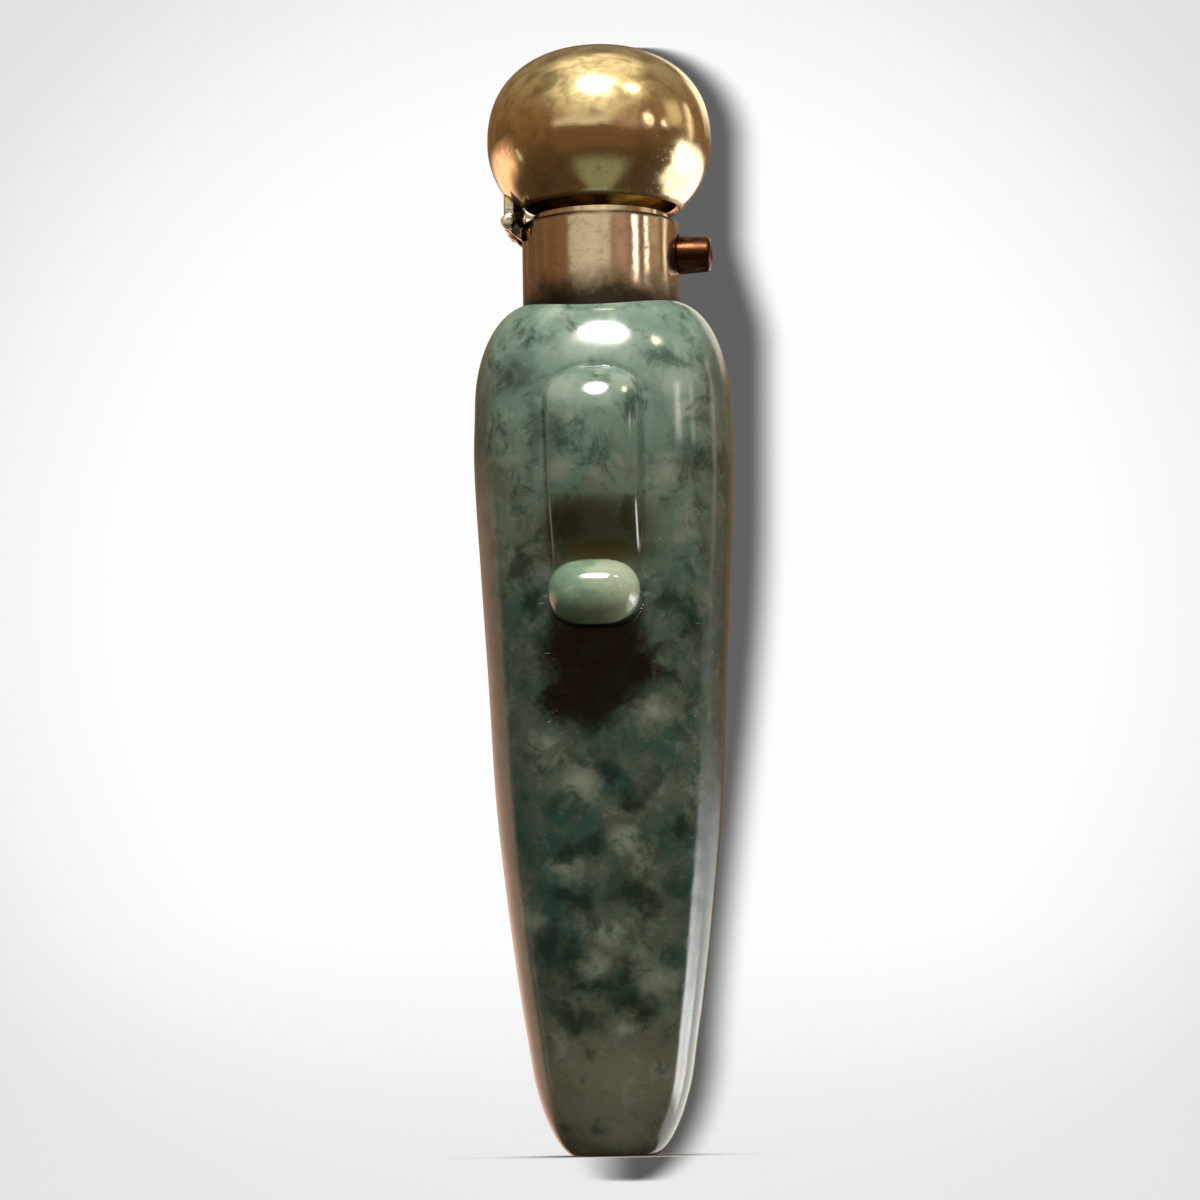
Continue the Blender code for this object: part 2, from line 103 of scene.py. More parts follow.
def flask_halves(z):
    """The flask's half width and half depth at height z."""
    line = smooth_through(SIDE_LINE, z / FLASK_HEIGHT)
    halves = []
    for full, foot, land in zip((FLASK_WIDTH, FLASK_DEPTH), FOOT_HALVES, LAND_HALVES):
        outer = line * full / 2
        if z < FOOT_ROUND:
            outer = rounding(foot, outer, FOOT_ROUND, FOOT_ROUND - z)
        elif z > SHOULDER_Z:
            outer = rounding(land, outer, SHOULDER_ROUND, z - SHOULDER_Z)
        halves.append(outer)
    return halves


print("Half width and depth at the shoulder:", [round(v * 1000, 2) for v in flask_halves(SHOULDER_Z)])

# %% [markdown]
# ## The camera
#
# The photograph was taken from about the height of the flask's foot, a little to its right, with the camera tilted
# by about one degree. A long lens keeps the perspective as mild as in the photograph. The camera's three axes are
# worked out from where it stands and what it looks at, and put in its matrix directly.

# %% Camera
CAMERA_DISTANCE, CAMERA_HEIGHT, CAMERA_TURN, CAMERA_ROLL = 0.380, 0.004, math.radians(5.5), math.radians(-0.924)
AIM_HEIGHT = 0.04932
PICTURE_PIXELS = 1200
SENSOR_MM = 36.0
FOCAL_PIXELS = 4279.0
AXIS_PIXEL = 606.6


def linked(name, data):
    """An object for a camera or a lamp, put in the scene."""
    made = bpy.data.objects.new(name, data)
    bpy.context.scene.collection.objects.link(made)
    return made


def made_camera():
    camera = bpy.data.cameras.new("camera")
    camera.sensor_width = SENSOR_MM
    camera.lens = FOCAL_PIXELS * SENSOR_MM / PICTURE_PIXELS
    camera.shift_x = (PICTURE_PIXELS / 2 - AXIS_PIXEL) / PICTURE_PIXELS
    camera.clip_start, camera.clip_end = 0.01, 10.0
    made = linked("camera", camera)
    place = Vector((CAMERA_DISTANCE * math.sin(CAMERA_TURN), -CAMERA_DISTANCE * math.cos(CAMERA_TURN), CAMERA_HEIGHT))
    forward = (Vector((0.0, 0.0, AIM_HEIGHT)) - place).normalized()
    level = forward.cross(Vector((0.0, 0.0, 1.0))).normalized()
    upward = level.cross(forward)
    right = level * math.cos(CAMERA_ROLL) + upward * math.sin(CAMERA_ROLL)
    up = upward * math.cos(CAMERA_ROLL) - level * math.sin(CAMERA_ROLL)
    columns = Matrix((right, up, -forward)).transposed()
    made.matrix_world = Matrix.Translation(place) @ columns.to_4x4()
    return made


bpy.context.scene.camera = made_camera()
print("Lens:", round(bpy.context.scene.camera.data.lens, 1), "mm")

# %% [markdown]
# ## Working by hand, in code
#
# Blender's modelling tools act on what is selected, in edit mode. A few short helpers keep that in order: one
# starts from nothing selected, one picks faces, edges or points by their place and opens edit mode on them, and
# others apply a modifier, weld or smooth. Each piece below is then a list of the same steps as with the mouse.

# %% Helpers for modelling
SAME_PLACE = 1e-6


def done():
    bpy.ops.object.mode_set(mode="OBJECT")


def nothing_selected():
    if bpy.context.mode != "OBJECT":
        done()
    bpy.ops.object.select_all(action="DESELECT")


def only(made):
    """Selects one object alone and makes it the active one."""
    nothing_selected()
    made.select_set(True)
    bpy.context.view_layer.objects.active = made


def named(name):
    """The primitive that was just added, under its own name, with its place moved into its mesh."""
    made = bpy.context.active_object
    made.name = made.data.name = name
    bpy.ops.object.transform_apply(location=True, rotation=True, scale=True)
    return made


def pick(made, kind, wanted):
    """Selects the faces, edges or points whose middle passes wanted, and leaves edit mode open on them."""
    only(made)
    bpy.ops.object.mode_set(mode="EDIT")
    bpy.ops.mesh.select_mode(type=kind)
    bpy.ops.mesh.select_all(action="DESELECT")
    done()
    mesh = made.data
    items = {"FACE": mesh.polygons, "EDGE": mesh.edges, "VERT": mesh.vertices}[kind]
    count = 0
    for item in items:
        if kind == "VERT":
            middle = item.co
        else:
            middle = sum((mesh.vertices[i].co for i in item.vertices), Vector()) / len(item.vertices)
        item.select = bool(wanted(middle, item))
        count += item.select
    bpy.ops.object.mode_set(mode="EDIT")
    return count


def finished_with(made, kind, **settings):
    """Adds a modifier with these settings and applies it."""
    only(made)
    modifier = made.modifiers.new(kind.title(), kind)
    for setting, value in settings.items():
        setattr(modifier, setting, value)
    bpy.ops.object.modifier_apply(modifier=modifier.name)


def walled(made, thickness):
    """Gives an open shell its thickness, inwards."""
    finished_with(made, "SOLIDIFY", thickness=thickness, offset=-1.0, use_even_offset=True)


def bevelled(made, width, segments, angle):
    """Rounds the edges whose faces meet at more than an angle in degrees."""
    finished_with(
        made, "BEVEL", width=width, segments=segments, limit_method="ANGLE", angle_limit=math.radians(angle),
    )


def outward(made, weld=1e-7):
    """Merges doubles and turns every face to point out."""
    pick(made, "VERT", lambda middle, item: True)
    bpy.ops.mesh.select_all(action="SELECT")
    bpy.ops.mesh.remove_doubles(threshold=weld)
    bpy.ops.mesh.normals_make_consistent(inside=False)
    done()


def smooth(made, angle=35.0):
    only(made)
    bpy.ops.object.shade_smooth_by_angle(angle=math.radians(angle))


def joined(pieces, name):
    """One object of several, as with Ctrl J."""
    nothing_selected()
    for piece in pieces:
        piece.select_set(True)
    bpy.context.view_layer.objects.active = pieces[0]
    bpy.ops.object.join()
    made = bpy.context.active_object
    made.name = made.data.name = name
    return made


def report(made):
    mesh = made.data
    mesh.calc_loop_triangles()
    low, high = ([round(end(v.co[i] for v in mesh.vertices) * 1000, 2) for i in range(3)] for end in (min, max))
    print(made.name, len(mesh.loop_triangles), "triangles from", low, "to", high, "mm")


nothing_selected()
print("Ready to model in", bpy.context.mode.lower(), "mode")

# %% [markdown]
# ## The carved stone
#
# The real flask is one stone: a tapering body, a strap carved in relief with an arched top, a hollow where the
# strap turns in, and a scroll where it ends. A sculptor's tool could shape it, but a grid whose points are placed
# by rule is exact and repeatable. So a flat grid is added, each of its rows becomes one ring round the flask, and
# each point is set where the rule puts it.
#
# The carving is a height above the plain body. The rule for the strap gives its crowned face, its arched outline
# and its turn inwards. The wall round it is a steep smooth step, and the scroll is a pillow that wins where it
# stands higher.

# %% Rules of the carving
STRAP_HALF, STRAP_TOP_Z, STRAP_ARCH = 4.45 * MM, 68.9 * MM, 3.0 * MM
STRAP_RISE, STRAP_PROUD, STRAP_ROOT = 4.8 * MM, 2.8 * MM, 0.3 * MM
STRAP_TURN_Z, RECESS_RUN, RECESS_PROUD = 57.3 * MM, 5.2 * MM, 1.1 * MM
STRAP_CROWN, STRAP_EDGE, STRAP_NARROWING = 1.3 * MM, 0.6 * MM, 0.92
SCROLL_Z, SCROLL_PROUD = 48.7 * MM, 4.9 * MM
SCROLL_HALVES, SCROLL_POWER, SCROLL_SIDE_POWER = (4.1 * MM, 3.5 * MM, 2.9 * MM), 3.0, 2.2
CARVED_FROM_Z, CARVED_TO_Z, CARVED_HALF_WIDTH = 44.0 * MM, 70.0 * MM, 6.5 * MM
WALL_RUN, WALL_SPREAD = 0.45 * MM, 0.2
COVE_RUN, COVE_DEPTH = 0.9 * MM, 0.12 * MM


def step(low, high, value):
    t = max(0.0, min(1.0, (value - low) / (high - low)))
    return t * t * (3 - 2 * t)


def strap_edge(z):
    """Half the strap's width at height z, without its arch."""
    down = (STRAP_TOP_Z - STRAP_ARCH - z) / (STRAP_TOP_Z - STRAP_ARCH - SCROLL_Z)
    return STRAP_HALF * (1 - (1 - STRAP_NARROWING) * max(0.0, min(1.0, down)))


def inside_strap(x, z):
    """How far a point is inside the strap's outline: above 0 inside, below 0 outside."""
    edge = strap_edge(z)
    arch_start = STRAP_TOP_Z - STRAP_ARCH
    if z <= arch_start:
        return edge - abs(x)
    out = math.hypot(x / edge, (z - arch_start) / STRAP_ARCH)
    return (1 - out) * min(edge, STRAP_ARCH + (edge - STRAP_ARCH) * abs(x) / edge)


def strap_proud(z):
    proud = STRAP_PROUD
    if z > STRAP_TOP_Z - STRAP_RISE:
        proud = rounding(-STRAP_ROOT, STRAP_PROUD, STRAP_RISE, z - (STRAP_TOP_Z - STRAP_RISE))
    elif z < STRAP_TURN_Z:
        proud += (RECESS_PROUD - STRAP_PROUD) * step(0.0, 1.0, (STRAP_TURN_Z - z) / RECESS_RUN)
    return proud


def carved(x, z, plain):
    """How far the front stands out from the axis at (x, z), where the plain body stands out by plain."""
    depth = flask_halves(z)[1]
    front = plain
    into = inside_strap(x, z)
    if SCROLL_Z < z and into > -COVE_RUN:
        share = min(1.0, abs(x) / strap_edge(z))
        face = depth + strap_proud(z) - STRAP_CROWN * share**2 - STRAP_EDGE * share**10
        rise = face - plain if z < STRAP_TURN_Z else max(0.0, face - plain)
        front += rise * step(-WALL_RUN * WALL_SPREAD, WALL_RUN, into)
        front -= COVE_DEPTH * step(-COVE_RUN, 0.0, into) * (1 - step(0.0, WALL_RUN, into))
    across, deep, thick = SCROLL_HALVES
    off = abs(x / across) ** SCROLL_POWER + abs((z - SCROLL_Z) / thick) ** SCROLL_SIDE_POWER
    if off < 1:
        pillow = flask_halves(SCROLL_Z)[1] + SCROLL_PROUD - deep + deep * math.sqrt(1 - off)
        front = max(front, pillow)
    return front


print("Strap face at z 62 mm:", round(carved(0.0, 0.062, 0.0) * 1000, 2), "mm from the axis")

# %% [markdown]
# ## From rules to rings
#
# The rings run from the middle of the foot, up the outside, down into the seat of the collar, up the neck, where a
# pocket leaves room for the button, and down the bore to the floor of the hollow. So the stone is hollow and has a
# wall. Rows and columns stand close together across the strap, where the carving is fine, and wide apart elsewhere.

# %% Rows and columns of the stone
FRONT_STEP, FRONT_REACH, FRONT_LIMIT = 0.125 * MM, 5.6 * MM, 0.62
SIDE_COLUMNS, BACK_COLUMNS = 24, 44
FOOT_ROWS, BODY_ROWS, FINE_ROWS, SHOULDER_ROWS = 22, 70, 160, 26
FINE_FROM_Z = 44.5 * MM


def front_shares():
    """Close steps across the carved front, from -1 at its left edge to 1 at its right."""
    dense = int(FRONT_REACH / FRONT_STEP)
    return [i / dense for i in range(-dense, dense + 1)]


def column_angles(z):
    """The angle of every column at height z, counter-clockwise from above, from the middle of the back."""
    across = flask_halves(z)[0]
    reach = FRONT_REACH * strap_edge(z) / STRAP_HALF
    reach = min(reach, across * FRONT_LIMIT)
    front = []
    for share in front_shares():
        cosine = share * reach / across
        turn = math.copysign(abs(cosine) ** (section_power(z) / 2), cosine)
        front.append(-math.acos(max(-1.0, min(1.0, turn))))
    left, right = front[0], front[-1]
    start, end = -1.5 * math.pi, math.pi / 2
    quarter = BACK_COLUMNS // 2 + SIDE_COLUMNS
    before = [start + (left - start) * i / quarter for i in range(quarter)]
    after = [right + (end - right) * i / quarter for i in range(1, quarter)]
    return before + front + after


def section_point(turn, halves, z):
    c, s = math.cos(turn), math.sin(turn)
    power = 2 / section_power(z)
    across = halves[0] * math.copysign(abs(c) ** power, c)
    deep = halves[1] * math.copysign(abs(s) ** power, s)
    return Vector((across, deep, z))


def spread(low, high, count):
    return [low + (high - low) * i / count for i in range(count)]


outer_rows = [FOOT_ROUND * (1 - math.cos(turn)) for turn in spread(0.0, math.pi / 2, FOOT_ROWS)]
outer_rows += spread(FOOT_ROUND, FINE_FROM_Z, BODY_ROWS) + spread(FINE_FROM_Z, CARVED_TO_Z, FINE_ROWS)
print("Rows on the outside:", len(outer_rows) + SHOULDER_ROWS, "columns:", len(column_angles(0.05)))


# %% Points of the stone
RIM_FROM_Z, RIM_HALVINGS = 72.0 * MM, 30
STONE_WALL, HOLLOW_FLOOR_Z = 3.5 * MM, 11.0 * MM
THROAT_Z, BELLY_Z, BEND_Z = 71.5 * MM, 65.5 * MM, 15.0 * MM
NECK_EDGE, NECK_ROWS_FROM_Z, NECK_ROWS = 0.3 * MM, 78.1 * MM, 20
BEND_ROWS, HOLLOW_ROWS = 12, 30
FOOT_SHARES, POLE_RADIUS, POLE_REACH = (0.02, 0.3, 0.6, 0.85, 0.97), 0.02 * MM, 0.1 * MM


def rim_height(turn):
    """Where the shoulder meets the seat that is cut for the collar, found by halving."""
    low, high = RIM_FROM_Z, FLASK_HEIGHT
    for _ in range(RIM_HALVINGS):
        middle = (low + high) / 2
        point = section_point(turn, flask_halves(middle), middle)
        if math.hypot(point.x, point.y) > SEAT_RADIUS:
            low = middle
        else:
            high = middle
    return low


def outside_ring(z):
    halves = flask_halves(z)
    ring = []
    for turn in column_angles(z):
        point = section_point(turn, halves, z)
        if point.y < 0 and CARVED_FROM_Z < z < CARVED_TO_Z and abs(point.x) < CARVED_HALF_WIDTH:
            point.y = -carved(point.x, z, -point.y)
        ring.append(point)
    return ring


def shoulder_rings(first_z):
    """Rings from first_z up to the rim, which stands higher at the sides than at the front and back."""
    turns = column_angles(first_z)
    tops = [rim_height(turn) for turn in turns]
    rings = []
    for i in range(SHOULDER_ROWS + 1):
        share = math.sin(math.pi / 2 * i / SHOULDER_ROWS)
        ring = []
        for turn, top in zip(turns, tops):
            z = first_z + (top - first_z) * share
            point = section_point(turn, flask_halves(z), z)
            ring.append(point)
        rings.append(ring)
    return rings


def round_ring(radius, z):
    """A ring round the axis, with as many points as the outside has and facing the same ways."""
    return [Vector((radius * p.x, radius * p.y, z)) for p in facing]


def neck_ring(z):
    """A ring of the neck. A round pocket in it leaves room for the inner end of the pushed button."""
    ring = round_ring(NECK_RADIUS, z)
    for point in ring:
        if point.x > 0 and math.hypot(point.y, z - BUTTON_Z) < POCKET_RADIUS:
            point.x = min(point.x, POCKET_FLOOR_X)
    return ring


def hollow_radius(z):
    return flask_halves(z)[1] - STONE_WALL


def stone_rings():
    edge_z = NECK_TOP_Z - NECK_EDGE
    rings = [[Vector((p.x * share, p.y * share, 0.0)) for p in outside_ring(0.0)] for share in FOOT_SHARES]
    rings += [outside_ring(z) for z in outer_rows] + shoulder_rings(CARVED_TO_Z)
    rings.append(round_ring(SEAT_RADIUS, SEAT_Z))
    rings += [neck_ring(z) for z in [SEAT_Z] + spread(NECK_ROWS_FROM_Z, edge_z, NECK_ROWS) + [edge_z]]
    rings.append(round_ring(NECK_RADIUS - NECK_EDGE, NECK_TOP_Z))
    rings.append(round_ring(BORE_RADIUS + NECK_EDGE, NECK_TOP_Z))
    rings.append(round_ring(BORE_RADIUS, edge_z))
    for i in range(BEND_ROWS + 1):
        z = THROAT_Z - (THROAT_Z - BELLY_Z) * (1 - math.cos(math.pi / 2 * i / BEND_ROWS))
        rings.append(round_ring(rounding(BORE_RADIUS, hollow_radius(BELLY_Z), THROAT_Z - BELLY_Z, z - BELLY_Z), z))
    rings += [round_ring(hollow_radius(z), z) for z in spread(BELLY_Z, BEND_Z, HOLLOW_ROWS)[1:]]
    for turn in spread(0.0, math.pi / 2, BEND_ROWS):
        z = BEND_Z - (BEND_Z - HOLLOW_FLOOR_Z) * math.sin(turn)
        rings.append(round_ring(rounding(0.0, hollow_radius(BEND_Z), BEND_Z - HOLLOW_FLOOR_Z, BEND_Z - z), z))
    rings.append(round_ring(POLE_RADIUS, HOLLOW_FLOOR_Z))
    return rings


unit_section = [section_point(turn, (1.0, 1.0), 0.0) for turn in column_angles(SHOULDER_Z)]
facing = [Vector((p.x, p.y, 0.0)).normalized() for p in unit_section]
print("The rim runs from", round(rim_height(-math.pi / 2) * 1000, 2), "to", round(rim_height(0.0) * 1000, 2), "mm")


# %% Make the stone
def carved_stone():
    rings = stone_rings()
    columns = len(rings[0])
    nothing_selected()
    bpy.ops.mesh.primitive_grid_add(x_subdivisions=columns, y_subdivisions=len(rings) - 1, size=0.1)
    stone = named("carved_agate_flask")
    print("Grid:", len(stone.data.vertices), "points for", len(rings), "rings of", columns)
    for row, ring in enumerate(rings):
        for column in range(columns + 1):
            stone.data.vertices[row * (columns + 1) + column].co = ring[column % columns]
    for pole_z in (0.0, HOLLOW_FLOOR_Z):
        pick(stone, "VERT", lambda at, item: abs(at.z - pole_z) < SAME_PLACE and math.hypot(at.x, at.y) < POLE_REACH)
        bpy.ops.mesh.merge(type="CENTER")
        done()
    outward(stone)
    smooth(stone, 50.0)
    return stone


stone = carved_stone()
report(stone)

# %% [markdown]
# ## The domed lid
#
# The lid is thin gilt metal raised to a dome that is wider than it is high, with a short band where it meets the
# collar. It starts as a sphere, whose upper half is made a little squarer by rule and then scaled to a squat dome.
# Bisect cuts off what lies below the place where the dome is as narrow as the band, the open edge is extruded down
# to make the band, and Solidify gives the metal its thickness.

# %% The dome and its band
LID_RADIUS, LID_HALF_HEIGHT, LID_CROWN_POWER, LID_WALL = 10.14 * MM, 8.75 * MM, 2.3, 0.6 * MM
LID_FOOT_Z, LID_BAND_HEIGHT, METAL_BEVEL = 83.6 * MM, 1.05 * MM, 0.1 * MM
LID_SEGMENTS, LID_RINGS = 160, 112
DOME_FOOT_Z = LID_FOOT_Z + LID_BAND_HEIGHT
DOME_CENTRE_Z = DOME_FOOT_Z + LID_HALF_HEIGHT * math.sqrt(1 - (COLLAR_RADIUS / LID_RADIUS) ** 2)


def lid_shell():
    nothing_selected()
    bpy.ops.mesh.primitive_uv_sphere_add(segments=LID_SEGMENTS, ring_count=LID_RINGS, radius=1.0)
    shell = named("lid_shell")
    for vertex in shell.data.vertices:
        out, up = math.hypot(vertex.co.x, vertex.co.y), vertex.co.z
        if up > 0 and out > 0:
            wider = out ** (2 / LID_CROWN_POWER)
            vertex.co = (vertex.co.x * wider / out, vertex.co.y * wider / out, up ** (2 / LID_CROWN_POWER))
    pick(shell, "VERT", lambda at, item: True)
    bpy.ops.transform.resize(value=(LID_RADIUS, LID_RADIUS, LID_HALF_HEIGHT))
    bpy.ops.transform.translate(value=(0.0, 0.0, DOME_CENTRE_Z))
    bpy.ops.mesh.bisect(plane_co=(0.0, 0.0, DOME_FOOT_Z), plane_no=(0.0, 0.0, 1.0), clear_inner=True)
    done()
    pick(shell, "EDGE", lambda at, item: abs(at.z - DOME_FOOT_Z) < SAME_PLACE)
    bpy.ops.mesh.extrude_edges_move(TRANSFORM_OT_translate={"value": (0.0, 0.0, -LID_BAND_HEIGHT)})
    done()
    outward(shell)
    walled(shell, LID_WALL)
    bevelled(shell, METAL_BEVEL, 3, 40)
    return shell


shell = lid_shell()
report(shell)

# %% [markdown]
# ## The hinge
#
# A small three-part knuckle joins the lid to the collar on the left. The middle part belongs to the lid and hangs
# from it on a short leaf. The two end parts belong to the collar and stand on lugs. Each knuckle is a tube: an open
# cylinder with Solidify. The leaf and the lugs are cubes with slanted ends, which end inside the metal that they
# are soldered to.

# %% Knuckles and leaves
HINGE_X, HINGE_Z, KNUCKLE_RADIUS, KNUCKLE_WALL = -8.0 * MM, 83.475 * MM, 0.7 * MM, 0.28 * MM
MIDDLE_KNUCKLE, HINGE_LENGTH, KNUCKLE_GAP = 2.8 * MM, 6.4 * MM, 0.2 * MM
KNUCKLE_BEVEL, LEAF_BEVEL, LEAF_SHORTER = 0.07 * MM, 0.12 * MM, 0.06 * MM
LEAF_CORNERS = (
    (-8.64 * MM, HINGE_Z + 0.2 * MM), (-6.88 * MM, HINGE_Z + 0.2 * MM),
    (-8.64 * MM, 86.35 * MM), (-6.88 * MM, 85.1 * MM),
)
LUG_CORNERS = (
    (-6.85 * MM, HINGE_Z - 1.8 * MM), (-6.85 * MM, HINGE_Z - 0.8 * MM),
    (-8.6 * MM, HINGE_Z - 0.3 * MM), (-7.6 * MM, HINGE_Z + 0.3 * MM),
)


def cylinder_on_hinge(name, radius, low, high, sides, ends="NGON"):
    nothing_selected()
    bpy.ops.mesh.primitive_cylinder_add(
        vertices=sides, radius=radius, depth=high - low, end_fill_type=ends,
        location=(HINGE_X, (low + high) / 2, HINGE_Z), rotation=(math.pi / 2, 0.0, 0.0),
    )
    return named(name)


def knuckle(name, low, high):
    tube = cylinder_on_hinge(name, KNUCKLE_RADIUS, low, high, 48, "NOTHING")
    outward(tube)
    walled(tube, KNUCKLE_WALL)
    bevelled(tube, KNUCKLE_BEVEL, 2, 50)
    return tube


def wedge(name, corners, low, high):
    """A bar along Y whose section is four corners, as (x, z): a cube whose corners are moved."""
    nothing_selected()
    bpy.ops.mesh.primitive_cube_add(size=2.0)
    bar = named(name)
    for vertex in bar.data.vertices:
        x, z = corners[(vertex.co.x > 0) + 2 * (vertex.co.z > 0)]
        vertex.co = (x, high if vertex.co.y > 0 else low, z)
    outward(bar)
    bevelled(bar, LEAF_BEVEL, 3, 30)
    return bar


def middle_hinge():
    half = MIDDLE_KNUCKLE / 2
    leaf = wedge("lid_leaf", LEAF_CORNERS, -half + LEAF_SHORTER, half - LEAF_SHORTER)
    return [knuckle("lid_knuckle", -half, half), leaf]


lid = joined([shell] + middle_hinge(), "domed_gilt_lid")
smooth(lid)
report(lid)

# %% [markdown]
# ## The collar
#
# The collar is a turned ring with a raised bezel that the lid closes round. What is turned on a lathe is made here
# with Spin: a flat ring of points is added, each point is moved to a corner of the collar's section, and the
# section is spun once round the axis. A small bevel then takes the hard edge off every corner, as polishing does.
# The outer wall gets many rings, so that the hole drilled in it later leaves the shading of the rest of the wall
# alone.

# %% Turned collar
BEZEL_RADIUS, BEZEL_WALL, BEZEL_HEIGHT = 6.15 * MM, 0.55 * MM, 0.75 * MM
MOUTH_RADIUS, COLLAR_BORE, UNDER_TOP_Z = 4.1 * MM, 6.6 * MM, 82.75 * MM
COLLAR_STEPS, COLLAR_WALL_RINGS = 160, 24


def spun(name, section, steps):
    """A closed section of (radius, height) points, spun round the Z axis."""
    nothing_selected()
    bpy.ops.mesh.primitive_circle_add(vertices=len(section), radius=0.1)
    made = named(name)
    for vertex, (radius, height) in zip(made.data.vertices, section):
        vertex.co = (radius, 0.0, height)
    pick(made, "EDGE", lambda at, item: True)
    bpy.ops.mesh.spin(steps=steps, angle=2 * math.pi, center=(0.0, 0.0, 0.0), axis=(0.0, 0.0, 1.0))
    done()
    outward(made, SAME_PLACE)
    return made


def turned_collar():
    top = COLLAR_TOP_Z + BEZEL_HEIGHT
    wall = [(COLLAR_RADIUS, z) for z in spread(COLLAR_FOOT_Z, COLLAR_TOP_Z, COLLAR_WALL_RINGS)]
    section = wall + [
        (COLLAR_RADIUS, COLLAR_TOP_Z), (BEZEL_RADIUS, COLLAR_TOP_Z),
        (BEZEL_RADIUS, top), (BEZEL_RADIUS - BEZEL_WALL, top), (BEZEL_RADIUS - BEZEL_WALL, COLLAR_TOP_Z),
        (MOUTH_RADIUS, COLLAR_TOP_Z), (MOUTH_RADIUS, UNDER_TOP_Z), (COLLAR_BORE, UNDER_TOP_Z),
        (COLLAR_BORE, COLLAR_FOOT_Z),
    ]
    collar = spun("collar_ring", section, COLLAR_STEPS)
    bevelled(collar, METAL_BEVEL, 3, 40)
    return collar


collar_ring = turned_collar()
report(collar_ring)

# %% Button hole and hinge ends
BUTTON_TIP_X, BUTTON_ROOT_RADIUS, BUTTON_TIP_RADIUS = 10.0 * MM, 1.75 * MM, 1.55 * MM
BUTTON_LENGTH, BUTTON_GAP, DRILL_LENGTH = 3.3 * MM, 0.2 * MM, 3.0 * MM


def cut_button_hole(collar):
    nothing_selected()
    bpy.ops.mesh.primitive_cylinder_add(
        vertices=64, radius=BUTTON_ROOT_RADIUS + BUTTON_GAP, depth=DRILL_LENGTH,
        location=(COLLAR_RADIUS, 0.0, BUTTON_Z), rotation=(0.0, math.pi / 2, 0.0),
    )
    drill = named("drill")
    finished_with(collar, "BOOLEAN", operation="DIFFERENCE", object=drill, solver="EXACT")
    bpy.data.objects.remove(drill, do_unlink=True)


def end_hinges():
    made = []
    near, far = MIDDLE_KNUCKLE / 2 + KNUCKLE_GAP, HINGE_LENGTH / 2
    for side, word in ((-1, "front"), (1, "back")):
        low, high = sorted((side * near, side * far))
        made.append(knuckle(f"{word}_knuckle", low, high))
        made.append(wedge(f"{word}_lug", LUG_CORNERS, low + LEAF_SHORTER, high - LEAF_SHORTER))
    return made


cut_button_hole(collar_ring)
collar = joined([collar_ring] + end_hinges(), "turned_gilt_collar")
smooth(collar)
report(collar)

# %% [markdown]
# ## The pin and the button
#
# The hinge pin is a short wire with both ends hammered into flat heads: three cylinders, one thin and long, with
# two short thick ones for its heads. The catch button is a plain round peg, a little thinner at its tip, with edges
# gone soft from long use. It is a cone with a bevel, and Inset sinks the shallow dish in its end.

# %% Pin and button
PIN_RADIUS, PIN_HEAD_RADIUS, PIN_HEAD_THICKNESS, PIN_END_GAP = 0.3 * MM, 0.5 * MM, 0.2 * MM, 0.1 * MM
PIN_BEVEL, BUTTON_BEVEL = 0.06 * MM, 0.4 * MM
DISH_RIM, DISH_SLOPE, DISH_DEPTH = 0.12 * MM, 0.10 * MM, 0.08 * MM


def riveted_pin():
    reach = HINGE_LENGTH / 2 + PIN_END_GAP
    parts = [(PIN_RADIUS, -reach, reach), (PIN_HEAD_RADIUS, -reach - PIN_HEAD_THICKNESS, -reach),
             (PIN_HEAD_RADIUS, reach, reach + PIN_HEAD_THICKNESS)]
    made = []
    for radius, low, high in parts:
        part = cylinder_on_hinge("pin_part", radius, low, high, 40)
        bevelled(part, PIN_BEVEL, 3, 50)
        made.append(part)
    pin = joined(made, "riveted_hinge_pin")
    smooth(pin)
    return pin


def push_button():
    nothing_selected()
    bpy.ops.mesh.primitive_cone_add(
        vertices=72, radius1=BUTTON_ROOT_RADIUS, radius2=BUTTON_TIP_RADIUS, depth=BUTTON_LENGTH,
        location=(BUTTON_TIP_X - BUTTON_LENGTH / 2, 0.0, BUTTON_Z), rotation=(0.0, math.pi / 2, 0.0),
    )
    button = named("gilt_catch_button")
    bevelled(button, BUTTON_BEVEL, 6, 50)
    pick(button, "FACE", lambda at, item: len(item.vertices) > 8 and at.x > BUTTON_TIP_X - DISH_DEPTH)
    bpy.ops.mesh.inset(thickness=DISH_RIM, depth=0.0)
    bpy.ops.mesh.inset(thickness=DISH_SLOPE, depth=-DISH_DEPTH)
    done()
    smooth(button, 40.0)
    return button


pin = riveted_pin()
button = push_button()
report(pin)
report(button)

# %% [markdown]
# ## Writing materials as sums
#
# A material in Blender is a graph of nodes. Clicking many Math nodes together hides what they work out, so a small
# class wraps an output of a node and gives it the signs of arithmetic: a * b + 1 then adds the right Math nodes by
# itself. One method adds any other node from its type, its settings and what goes into its inputs.

# %% A small class for sockets
def math_node(operation, backwards=False):
    """A method of Value that adds one Math node."""

    def method(value, *others):
        inputs = (*others, value) if backwards else (value, *others)
        return value.paint.node("Math", dict(enumerate(inputs)), operation=operation)[0]

    return method


